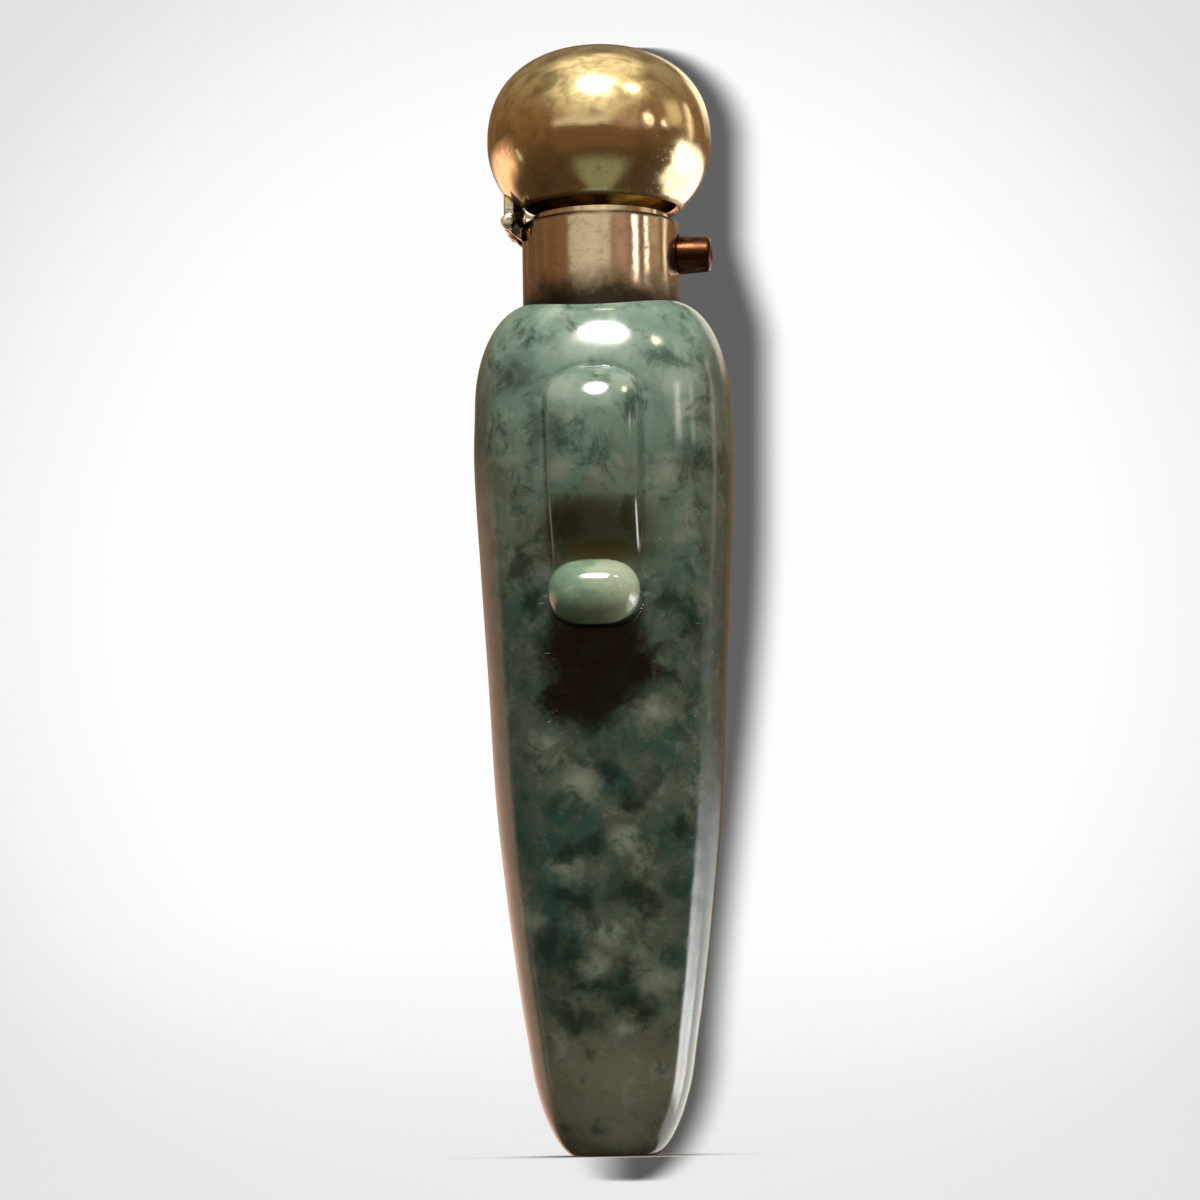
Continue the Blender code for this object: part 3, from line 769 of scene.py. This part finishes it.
class Value:
    """One output of a node. Arithmetic on it adds Math nodes."""

    def __init__(self, paint, output):
        self.paint, self.output = paint, output

    __add__ = __radd__ = math_node("ADD")
    __mul__ = __rmul__ = math_node("MULTIPLY")
    __sub__, __rsub__ = math_node("SUBTRACT"), math_node("SUBTRACT", backwards=True)
    __truediv__, __pow__, __abs__ = math_node("DIVIDE"), math_node("POWER"), math_node("ABSOLUTE")
    most, least = math_node("MAXIMUM"), math_node("MINIMUM")
    arctan2, arcsine = math_node("ARCTAN2"), math_node("ARCSINE")

    def from_to(self, low, high):
        """0 at low, 1 at high, smooth between."""
        inputs = {"Value": self, "From Min": low, "From Max": high}
        return self.paint.node("MapRange", inputs, interpolation_type="SMOOTHSTEP")[0]

    def between(self, low, high, soft):
        """1 from low to high, 0 outside, with soft edges."""
        return self.from_to(low - soft, low + soft) * (1 - self.from_to(high - soft, high + soft))


class Paint:
    """A material under its name, whose nodes are added one by one."""

    def __init__(self, name):
        self.material = bpy.data.materials.new(name)
        self.material.use_nodes = True
        self.tree = self.material.node_tree
        self.shader = self.tree.nodes["Principled BSDF"]
        self.place = self.node("TexCoord")["Object"]

    def node(self, kind, inputs=None, **settings):
        """Adds a node, here without the ShaderNode in its type. Its outputs are read by number or by name."""
        added = self.tree.nodes.new("ShaderNode" + kind)
        for setting, value in settings.items():
            setattr(added, setting, value)
        for socket, value in (inputs or {}).items():
            self.give(added.inputs[socket], value)
        outputs = [output for output in added.outputs if output.enabled]
        by_name = {output.name: Value(self, output) for output in outputs}
        return by_name | {i: Value(self, output) for i, output in enumerate(outputs)}

    def give(self, socket, value):
        if isinstance(value, Value):
            self.tree.links.new(value.output, socket)
        else:
            socket.default_value = value

    def in_mm(self, stretch=(1.0, 1.0, 1.0), move=(0.0, 0.0, 0.0)):
        """The place on the piece in millimetres, stretched and moved."""
        scale = tuple(1000.0 * part for part in stretch)
        return self.node("Mapping", {"Vector": self.place, "Scale": scale, "Location": move})[0]

    def vector(self, operation, *inputs):
        return self.node("VectorMath", dict(enumerate(inputs)), operation=operation)[0]

    def axes(self):
        """The X, Y and Z of the place on the piece, in millimetres."""
        return self.node("SeparateXYZ", {"Vector": self.in_mm()})

    def noise(self, scale, detail=4.0, roughness=0.55, distortion=0.0, at=None, move=(0.0, 0.0, 0.0)):
        inputs = {"Scale": scale, "Detail": detail, "Roughness": roughness, "Distortion": distortion}
        return self.node("TexNoise", {"Vector": at or self.in_mm(move=move), **inputs})

    def mixed(self, factor, first, second, blend="MIX"):
        """A colour between two others. Colours are three numbers or a socket."""
        first, second = (c if isinstance(c, Value) else (*c, 1.0) for c in (first, second))
        return self.node("Mix", {0: factor, 6: first, 7: second}, data_type="RGBA", blend_type=blend)[0]

    def bump(self, height, distance, strength=1.0, onto=None):
        inputs = {"Height": height, "Distance": distance, "Strength": strength}
        if onto is not None:
            inputs["Normal"] = onto
        return self.node("Bump", inputs)[0]

    def finish(self, **looks):
        """Sets or links the shader's own sockets and returns the material."""
        for socket, value in looks.items():
            self.give(self.shader.inputs[socket.replace("_", " ")], value)
        return self.material


def dressed(piece, material):
    piece.data.materials.clear()
    piece.data.materials.append(material)


print("Materials are written with", Paint.__name__, "and", Value.__name__)

# %% [markdown]
# ## Moss agate
#
# Moss agate is a milky stone full of green mineral moss. Seen close, it has three layers: broad clouds of
# blue-green and grey-green, soft milky veils, and ragged clumps that are nearly black where the moss is thick. All
# of it is solid right through, so the pattern reads the place in the stone, in millimetres, and not a flat picture.
# The main clumps and veils of the front are listed one by one, as (x, z, half width, half height), where the
# real stone has them. Noise pushes the places about first, so that each one turns ragged.

# %% Places of the moss and the veils
MOSS = (
    (-0.4, 43.3, 4.4, 3.6), (-1.9, 40.2, 2.6, 2.8), (-0.9, 38.0, 1.3, 1.7), (-4.4, 39.1, 1.5, 0.7),
    (5.2, 43.8, 1.4, 0.8), (2.6, 41.8, 1.8, 2.2), (6.0, 41.5, 1.0, 0.8), (8.0, 46.3, 0.9, 1.6),
    (6.5, 48.0, 1.5, 1.0), (8.4, 61.0, 1.3, 1.8), (10.6, 60.4, 0.6, 1.7), (10.4, 68.2, 0.9, 1.5),
    (6.5, 69.7, 1.9, 0.6), (-7.1, 68.5, 2.0, 2.0), (-3.0, 62.6, 1.2, 1.5), (-5.4, 63.9, 0.7, 2.9),
    (-6.8, 51.3, 0.8, 1.0), (-6.0, 48.3, 0.8, 1.0), (2.8, 30.8, 1.2, 1.0), (1.0, 33.0, 1.0, 0.8),
    (-0.8, 27.1, 1.6, 1.0), (-3.2, 26.3, 0.9, 1.0), (6.8, 28.3, 0.8, 1.1), (2.6, 22.4, 2.3, 1.2),
    (3.8, 21.6, 1.3, 0.8), (-2.5, 22.2, 1.7, 1.0), (-3.2, 16.9, 1.4, 1.6), (1.6, 15.7, 1.3, 0.9),
    (-1.3, 14.4, 2.8, 0.8), (2.0, 13.3, 2.0, 1.2), (3.6, 12.4, 1.1, 0.8), (-2.1, 11.9, 2.4, 1.3),
    (-3.8, 2.0, 0.7, 1.3), (-5.1, 18.1, 0.9, 2.0),
)
VEILS = (
    (-3.7, 74.2, 1.6, 1.0), (0.1, 71.1, 4.2, 2.2), (7.4, 67.4, 1.6, 1.9), (10.0, 64.0, 1.3, 2.2),
    (7.8, 65.3, 1.2, 1.3), (-2.9, 59.5, 1.6, 1.3), (-2.6, 66.6, 2.1, 1.7), (3.1, 67.2, 1.3, 1.2),
    (-2.0, 64.0, 1.2, 0.9), (4.8, 38.5, 2.2, 1.5), (-1.8, 32.2, 2.0, 1.9),
    (1.9, 27.4, 1.3, 1.2), (-4.7, 35.7, 1.6, 1.9), (4.5, 15.2, 2.3, 1.7), (-0.9, 16.6, 1.9, 1.4),
    (0.6, 19.3, 1.7, 1.5), (1.5, 11.2, 1.4, 0.9), (-6.5, 20.5, 1.3, 1.3), (-3.3, 24.8, 1.6, 1.1),
    (7.4, 59.7, 2.0, 1.6),
)
FRONT_Y, FRONT_THICKNESS = -9.0, 7.0


def nearest(paint, place, spots, middle_y=FRONT_Y, half_deep=FRONT_THICKNESS):
    """1 in the middle of the nearest spot, 0 at its edge, below 0 outside."""
    closest = None
    for x, z, across, high in spots:
        moved = paint.node("Mapping", {
            "Vector": place, "Scale": (1 / across, 1 / half_deep, 1 / high),
            "Location": (-x / across, -middle_y / half_deep, -z / high),
        })[0]
        away = paint.vector("LENGTH", moved)
        closest = away if closest is None else closest.least(away)
    return 1 - closest


def ragged_place(paint, scale, reach, detail):
    """The place in millimetres, pushed about by noise."""
    cloud = paint.noise(scale, detail)["Color"]
    push = paint.vector("MULTIPLY_ADD", cloud, (reach,) * 3, (-reach / 2,) * 3)
    return paint.vector("ADD", paint.in_mm(), push)


print(len(MOSS), "clumps of moss and", len(VEILS), "veils")


# %% [markdown]
# ## The stone's layers
#
# The layers are laid one over the other, as a glazer would: clouds, veils, moss, and then what sits in one place
# only. That is the painted brown shade of the recess, the patch under the scroll that is nearly black, partly dark
# moss and partly the scroll's painted shadow, and the paler scroll. The stone is polished like glass, with a few hair
# scratches and soft smudges that only roughen its shine.

# %% The stone's finish
DEEP_GREEN, GREY_GREEN, UPPER_GREEN = (0.013, 0.042, 0.033), (0.046, 0.066, 0.051), (0.092, 0.146, 0.116)
TOP_TEAL, LOWER_TAUPE, BROWN_CLOUD = (0.112, 0.186, 0.158), (0.100, 0.098, 0.072), (0.058, 0.050, 0.032)
GREY_VEIL, MILKY_VEIL = (0.145, 0.170, 0.135), (0.240, 0.300, 0.260)
LOOSE_MOSS, THICK_MOSS, OLIVE_EDGE = (0.008, 0.026, 0.018), (0.003, 0.014, 0.010), (0.048, 0.042, 0.026)
# The near black below is the scroll's painted shadow laid over dark moss.
# The recess brown below is painted shade: the dark that the turned-in face of the strap mirrors.
RECESS_PAINTED_SHADE, NEAR_BLACK_SHADOW_AND_MOSS, GRAIN_TINT = (0.026, 0.021, 0.006), (0.0006, 0.0008, 0.0006), (0.30, 0.34, 0.30)
SCROLL_GREEN, SCROLL_PALE = (0.115, 0.195, 0.135), (0.290, 0.345, 0.255)
SCROLL_Y, SCROLL_THICKNESS = -13.6, 3.8
# Spots of the nearly black patch under the scroll: partly dark moss, partly the scroll's painted shadow.
SHADOW_AND_MOSS_UNDER_SCROLL = ((-0.4, 43.7, 4.6, 3.3), (-0.7, 40.8, 3.9, 3.9), (-3.4, 39.6, 2.0, 1.5), (3.4, 42.2, 2.0, 1.6))
# Where the painted shade of the recess lies.
RECESS_SHADE_SPOTS = ((-0.1, 54.7, 5.6, 3.4), (0.2, 52.6, 5.4, 1.6))
SCROLL = ((0.0, 48.7, 5.6, 3.9),)


def moss_agate():
    paint = Paint("polished_moss_agate")
    x, height = (paint.axes()[axis] for axis in ("X", "Z"))
    broad = paint.noise(0.17, 5.0, 0.6)[0]
    cloudy = paint.noise(0.42, 6.0, 0.6, 0.3, move=(31.0, 7.0, 3.0))[0]
    grain = paint.noise(1.9, 5.0, 0.62)[0]
    upper, top, lower = height.from_to(42.0, 64.0), height.from_to(60.0, 70.0), 1 - height.from_to(6.0, 17.0)

    colour = paint.mixed(broad.from_to(0.40, 0.60), DEEP_GREEN, GREY_GREEN)
    colour = paint.mixed(upper * 0.72, colour, UPPER_GREEN)
    colour = paint.mixed(top * 0.85, colour, TOP_TEAL)
    colour = paint.mixed(lower * 0.85, colour, LOWER_TAUPE)
    brown = paint.noise(0.26, 4.0, 0.6, 0.0, move=(5.0, 40.0, 11.0))[0].from_to(0.50, 0.66)
    colour = paint.mixed(brown * 0.42 * (1 - top * 0.7), colour, BROWN_CLOUD)

    veil = (nearest(paint, ragged_place(paint, 0.7, 2.4, 5.0), VEILS) + (cloudy - 0.5) * 1.6).from_to(-0.45, 0.95)
    loose_veil = (cloudy + (broad - 0.5) * 0.4 + upper * 0.04).from_to(0.52, 0.74)
    pale = paint.mixed(top, GREY_VEIL, MILKY_VEIL)
    colour = paint.mixed(veil.most(loose_veil * 0.6) * 0.85, colour, pale)

    moss = (nearest(paint, ragged_place(paint, 0.6, 4.2, 6.0), MOSS) + (cloudy - 0.5) * 1.8).from_to(-0.75, 0.85)
    loose = paint.noise(0.36, 7.0, 0.66, 0.5, move=(-12.0, 19.0, 27.0))[0] - lower * 0.07 - top * 0.03
    colour = paint.mixed(loose.from_to(0.47, 0.66) * 0.80, colour, LOOSE_MOSS)
    colour = paint.mixed(moss * (0.95 - upper * 0.35), colour, THICK_MOSS)
    colour = paint.mixed(abs(x).from_to(8.0, 11.0) * 0.55, colour, OLIVE_EDGE)
    # Painted shade in the recess, where the strap turns in.
    recess_shade = (nearest(paint, paint.in_mm(), RECESS_SHADE_SPOTS) + (cloudy - 0.5) * 0.9).from_to(-0.35, 0.60)
    colour = paint.mixed(recess_shade * 0.95, colour, RECESS_PAINTED_SHADE)
    # The nearly black patch under the scroll: dark moss with the scroll's painted shadow over it.
    shadow_and_moss = (nearest(paint, ragged_place(paint, 0.7, 2.6, 5.0), SHADOW_AND_MOSS_UNDER_SCROLL) + (grain - 0.5) * 0.7).from_to(-0.40, 0.42)
    colour = paint.mixed(shadow_and_moss, colour, NEAR_BLACK_SHADOW_AND_MOSS)
    scroll = nearest(paint, paint.in_mm(), SCROLL, SCROLL_Y, SCROLL_THICKNESS).from_to(0.0, 0.15)
    scroll_side = x * 0.13 + (cloudy - 0.5) * 1.6
    scroll_colour = paint.mixed(scroll_side.from_to(-0.35, 0.35), SCROLL_GREEN, SCROLL_PALE)
    colour = paint.mixed(scroll * 0.9, colour, scroll_colour)
    colour = paint.mixed(grain.from_to(0.30, 0.72) * 0.24, colour, GRAIN_TINT, "SOFT_LIGHT")

    scratch_place = paint.in_mm((0.5, 0.5, 5.0), (3.0, 1.0, 0.0))
    scratches = paint.noise(2.2, 3.0, 0.5, 2.0, scratch_place)[0].from_to(0.70, 0.74)
    smudge = paint.noise(0.6, 3.0, 0.6, 0.0, move=(9.0, 2.0, 50.0))[0]
    rough = 0.13 + smudge.from_to(0.45, 0.8) * 0.10 + scratches * 0.15
    waves = paint.bump(paint.noise(0.16, 2.0, 0.5)[0], 0.00025, 0.35)
    normal = paint.bump(scratches * -1.0 + grain * 0.1, 0.00001, 0.6, waves)
    return paint.finish(Base_Color=colour, Roughness=rough, Normal=normal, IOR=1.54)


dressed(stone, moss_agate())
print("The stone's material has", len(stone.data.materials[0].node_tree.nodes), "nodes")

# %% [markdown]
# ## Gilt metal
#
# The lid and collar are gilt: a warm, pale gold that reflects the room like a mirror. What tells it from new brass
# is wear: fine hair scratches run round it and tarnish dulls it in soft patches. Painted shade darkens it in bands
# in the lid's crease, along the seam and towards the collar's foot. The hinge is rubbed to a paler metal, with a
# painted shadow, nearly black, in the crease beside its leaf. The pin and the button are the same metal gone dark
# brown.

# %% Gilt finishes
# The crease colour below is a painted shadow, nearly black, beside the hinge's leaf.
RUBBED_METAL, CREASE_PAINTED_SHADOW = (0.74, 0.69, 0.62), (0.012, 0.007, 0.004)
LEAF_MIDDLE_X = -7.35


def gilt(name, bright, tarnish_and_shade_colour, dark_bands, spread_of_tarnish, base_rough):
    """A metal dulled in patches, and darker in bands given as (height, reach up and down) in millimetres. Most bands
    are painted shade.
    """
    paint = Paint(name)
    place = paint.axes()
    patches = paint.noise(0.35, 6.0, 0.62, 0.3)[0]
    specks = paint.noise(2.6, 4.0, 0.6, 0.0, move=(4.0, 8.0, 15.0))[0]
    tarnish_and_shade = (patches + (specks - 0.5) * 0.35).from_to(*spread_of_tarnish) * 0.55
    # Most dark bands are painted shade: in the lid's crease, along the seam and towards the collar's foot.
    for middle, reach in dark_bands:
        off = abs(place["Z"] - middle)
        tarnish_and_shade = tarnish_and_shade.most(1 - (off + (patches - 0.5) * reach).from_to(0.15 * reach, reach))
    colour = paint.mixed(tarnish_and_shade, bright, tarnish_and_shade_colour)
    hinge = (1 - place["X"].from_to(-7.75, -7.45)) * (1 - place["Z"].from_to(85.2, 85.9))
    colour = paint.mixed(hinge * (1 - specks.from_to(0.50, 0.70) * 0.7), colour, RUBBED_METAL)
    # Painted shadow in the crease between the hinge's leaf and the lid and collar.
    by_leaf = abs(place["X"] - LEAF_MIDDLE_X)
    painted_crease_shadow = (1 - by_leaf.from_to(0.34, 0.50)) * (1 - abs(place["Y"]).from_to(3.3, 3.8))
    painted_crease_shadow = painted_crease_shadow * place["Z"].from_to(81.6, 82.4) * (1 - place["Z"].from_to(86.0, 86.8))
    colour = paint.mixed(painted_crease_shadow * 0.97, colour, CREASE_PAINTED_SHADOW)
    rings = paint.noise(1.0, 4.0, 0.6, 0.0, paint.in_mm((0.25, 0.25, 9.0)))[0].from_to(0.55, 0.75)
    hairs = paint.noise(1.3, 3.0, 0.5, 3.0, paint.in_mm((2.6, 0.8, 2.0), (1.0, 5.0, 2.0)))[0].from_to(0.66, 0.70)
    rough = base_rough + tarnish_and_shade * 0.22 + painted_crease_shadow * 0.3 + hairs * 0.12 + specks.from_to(0.5, 0.8) * 0.05
    dents = paint.bump(paint.noise(0.30, 2.0, 0.5)[0], 0.00012, 0.5)
    normal = paint.bump(hairs * -0.6 + rings * 0.4, 0.000006, 0.5, dents)
    return paint.finish(Base_Color=colour, Metallic=1.0, Roughness=rough, Normal=normal)


# The lid's bands are painted shade in its crease and along the seam, the collar's are painted shade towards its foot
# and along the seam, and the button's darkens it along its middle.
polished_gilt = gilt(
    "polished_gilt", (0.80, 0.63, 0.37), (0.26, 0.15, 0.06), ((84.85, 0.28), (83.6, 0.2)), (0.46, 0.74), 0.13,
)
collar_gilt = gilt(
    "brown_polished_gilt", (0.73, 0.58, 0.41), (0.042, 0.034, 0.022), ((74.7, 4.6), (83.3, 0.4)), (0.54, 0.80), 0.13,
)
dark_gilt = gilt(
    "darkened_gilt", (0.075, 0.027, 0.011), (0.028, 0.011, 0.005), ((80.4, 0.3),), (0.40, 0.66), 0.22,
)
dressed(lid, polished_gilt)
dressed(collar, collar_gilt)
dressed(pin, dark_gilt)
dressed(button, dark_gilt)
print("Finishes:", [m.name for m in (polished_gilt, collar_gilt, dark_gilt)])

# %% [markdown]
# ## Fitting the pieces to the part
#
# Each piece stands for the CAD solid that it replaces and rides on the body that moves it. The stone, collar and pin
# stay still, the lid swings on the pin, and the button slides.

# %% Ride and replace
for piece, body, node, slot in (
    (stone, "bottle", "agate_flask", "moss_agate"),
    (collar, "bottle", "neck_collar", "gilt_metal"),
    (pin, "bottle", "hinge_pin", "darkened_gilt"),
    (lid, "lid", "domed_lid", "gilt_metal"),
    (button, "button", "catch_button", "darkened_gilt"),
):
    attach(piece, body)
    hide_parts(node)
    print(piece.name, "rides on", body)

# %% [markdown]
# ## The studio
#
# Polished metal and stone show the room more than themselves, so most of the look is in what stands round the
# object. A world has no real cards, but a patch of brightness at an azimuth and an elevation mirrors like one. In
# front are a thin pale card, a brown one below it and a green-grey one near the floor. At the right are narrow
# strips and tall white cards, at the left dim warm ones. The rest of the room is warm and dim, which gives the gilt
# its bronze depth.
#
# The camera sees a plain pale backdrop instead of that room. The photograph's soft shadow, which was added to the
# picture and not cast, is painted on it.

# %% The room and the backdrop
# Cards: azimuth from and to, elevation from and to and softness in degrees, then the radiance in red, green, blue.
CARDS = (
    (-44, 44, -24, 2, 8, (0.17, 0.095, 0.048)),
    (-42, 19, 9.2, 12.8, 5, (1.15, 1.15, 1.02)),
    (-30, 44, -80, -38, 12, (0.27, 0.30, 0.20)),
    (26, 46, 4, 20, 6, (0.50, 0.35, 0.28)),
    (54, 60, 10, 15, 1.0, (7.4, 6.7, 6.2)),
    (73, 79, 9.5, 13.5, 1.2, (4.0, 3.6, 3.4)),
    (82, 102, 12, 28, 5, (0.85, 0.70, 0.50)),
    (110, 117, 4, 26, 3, (1.6, 1.4, 1.15)),
    (-93, -88, -18, -6, 2, (0.9, 0.85, 0.65)),
    (-165, -100, -18, 4, 6, (1.75, 1.10, 0.82)),
    (98, 165, -40, 0, 4, (2.3, 2.3, 2.2)),
    (96, 108, -20, -6, 3, (11.0, 11.0, 10.7)),
    (106, 127, -20, -6, 3, (8.2, 8.2, 8.0)),
    (146, 178, 15, 32, 4, (1.5, 1.35, 1.1)),
)
KEY_AZIMUTH, KEY_ELEVATION = 1, 53
LOW_ROOM, ROOM_LEVEL = (0.075, 0.047, 0.028), (0.26, 0.150, 0.075)
HIGH_ROOM, CEILING = (0.42, 0.37, 0.25), (1.75, 1.60, 1.22)
KEY_GLOW, DARK_CLUTTER = (1.9, 1.85, 1.4), (0.10, 0.062, 0.028)


def towards(azimuth, elevation):
    """The direction at an azimuth, 0 in front and 90 at the right, and an elevation, in degrees."""
    a, e = math.radians(azimuth), math.radians(elevation)
    return Vector((math.sin(a) * math.cos(e), -math.cos(a) * math.cos(e), math.sin(e)))


def room_colour(room, parts):
    """What the object is lit by and reflects: a warm dim room with a soft glow round the key light, and cards."""
    azimuth = parts["X"].arctan2(parts["Y"] * -1.0) * math.degrees(1)
    elevation = parts["Z"].arcsine() * math.degrees(1)
    colour = room.mixed(elevation.from_to(-35.0, 20.0), LOW_ROOM, ROOM_LEVEL)
    colour = room.mixed(elevation.from_to(12.0, 55.0), colour, HIGH_ROOM)
    colour = room.mixed(elevation.from_to(56.0, 76.0), colour, CEILING)
    clutter = room.noise(3.4, 5.0, 0.70, 1.2, room.place)[0]
    key = room.vector("DOT_PRODUCT", room.place, tuple(towards(KEY_AZIMUTH, KEY_ELEVATION)))
    colour = room.mixed(key.from_to(0.60, 0.99) * 0.6, colour, KEY_GLOW)
    colour = room.mixed(clutter.from_to(0.44, 0.60) * 0.72, colour, DARK_CLUTTER)
    for left, right, low, high, soft, radiance in CARDS:
        card = azimuth.between(left, right, soft) * elevation.between(low, high, soft)
        colour = room.mixed(card, colour, radiance)
    return colour


PAPER, PAPER_CORNER, PAPER_FOOT = (0.985, 0.985, 0.985), (0.76, 0.76, 0.765), (0.80, 0.80, 0.80)
SHADOW_MIDDLE_X, SHADOW_HALF, SHADOW_DARKNESS = 626, 104, 0.88
SHADOW_TOP, SHADOW_BOTTOM = (145, 98), (1050, 132)


def backdrop_colour(room):
    """What the camera sees: pale paper, greyer at its corners, with the soft shadow. x and y count pixels."""
    frame_of_camera = bpy.context.scene.camera.matrix_world.to_3x3()
    right, up, ahead = (
        room.vector("DOT_PRODUCT", room.place, tuple(axis))
        for axis in (frame_of_camera.col[0], frame_of_camera.col[1], -frame_of_camera.col[2])
    )
    depth = ahead.most(0.01)
    x, y = right / depth * FOCAL_PIXELS + AXIS_PIXEL, up / depth * -FOCAL_PIXELS + PICTURE_PIXELS / 2
    paper = room.mixed(ahead.from_to(0.9815, 0.9950), PAPER_CORNER, PAPER)
    in_picture = ahead.from_to(0.90, 0.95)
    paper = room.mixed(y.from_to(900.0, 1190.0) * 0.8 * in_picture, paper, PAPER_FOOT)
    half = SHADOW_HALF + y.from_to(230.0, 350.0) * 26 - y.from_to(500.0, 1160.0) * 55
    over = ((SHADOW_TOP[0] - y) / SHADOW_TOP[1]).most(0.0)
    under = ((y - SHADOW_BOTTOM[0]) / SHADOW_BOTTOM[1]).most(0.0)
    half = half * (1 - over**2 - under**2).most(0.0) ** 0.5
    shade = (half - abs(x - SHADOW_MIDDLE_X)).from_to(-34.0, 8.0) * in_picture * half.from_to(0.0, 20.0)
    return room.mixed(shade * x.from_to(565.0, 640.0) * SHADOW_DARKNESS, paper, (0.0, 0.0, 0.0))


def studio_world():
    world = bpy.data.worlds.new("studio")
    bpy.context.scene.world = world
    world.use_nodes = True
    room = Paint.__new__(Paint)
    room.tree = world.node_tree
    room.tree.nodes.clear()
    room.place = room.node("TexCoord")["Generated"]
    parts = room.node("SeparateXYZ", {"Vector": room.place})
    lit = room.node("Background", {"Color": room_colour(room, parts), "Strength": 1.0})[0]
    seen = room.node("Background", {"Color": backdrop_colour(room), "Strength": 1.0})[0]
    camera_ray = room.node("LightPath")["Is Camera Ray"]
    mix = room.node("MixShader", {0: camera_ray, 1: lit, 2: seen})[0]
    room.node("OutputWorld", {"Surface": mix})
    bpy.context.scene.view_settings.view_transform = "Standard"


studio_world()
print("World:", bpy.context.scene.world.name, "with", len(CARDS), "cards")

# %% [markdown]
# ## The lights
#
# Three oval lights face the object: a broad one high in front, a small warm one to its right, and a weak fill that
# nothing mirrors. An oval shows on the polished stone as the round highlight of a lamp.

# %% Lights
OBJECT_MIDDLE = Vector((0.0, 0.0, 0.055))


def soft_light(name, azimuth, elevation, distance, size, watts, colour):
    """An oval light that faces the object."""
    lamp = bpy.data.lights.new(name, "AREA")
    lamp.shape = "ELLIPSE"
    lamp.size, lamp.size_y = size
    lamp.energy, lamp.color = watts, colour
    made = linked(name, lamp)
    way = towards(azimuth, elevation)
    made.location = OBJECT_MIDDLE + way * distance
    made.rotation_euler = way.to_track_quat("Z", "Y").to_euler()
    made.visible_camera = False
    print(name, "at", [round(v, 3) for v in made.location])
    return made


soft_light("overhead_softbox", KEY_AZIMUTH, KEY_ELEVATION, 0.55, (0.23, 0.21), 4.2, (1.0, 0.98, 0.93))
soft_light("small_warm_light", 48, 46, 0.55, (0.07, 0.06), 0.5, (1.0, 0.80, 0.50))
soft_light("front_fill", -12, 14, 0.60, (0.30, 0.22), 0.3, (1.0, 0.95, 0.88)).visible_glossy = False

# %% [markdown]
# ## The floor
#
# The object stands on a pale floor with a painted shadow, darkest under the foot. Its Alpha fades it out into the
# backdrop, so that no edge of it shows.

# %% Floor
FLOOR_RADIUS, FLOOR_PAINTED_SHADOW, FLOOR_PALE = 0.6, (0.05, 0.05, 0.05), (0.41, 0.43, 0.47)
PAINTED_SHADOW_REACH, FADE_REACH = (0.003, 0.012), (0.003, 0.018)


def pale_floor():
    nothing_selected()
    bpy.ops.mesh.primitive_circle_add(vertices=96, radius=FLOOR_RADIUS, fill_type="NGON")
    floor = named("pale_floor")
    paint = Paint("pale_floor_paper")
    out = paint.vector("LENGTH", paint.place)
    paper = paint.noise(0.8, 3.0)[0]
    # A painted shadow, darkest under the foot.
    colour = paint.mixed(out.from_to(*PAINTED_SHADOW_REACH), FLOOR_PAINTED_SHADOW, FLOOR_PALE)
    paint.finish(Base_Color=colour, Roughness=0.85 + paper * 0.05, Alpha=1 - out.from_to(*FADE_REACH))
    dressed(floor, paint.material)
    floor.visible_glossy = False
    return floor


floor = pale_floor()
print("Floor:", [round(v, 2) for v in floor.dimensions])
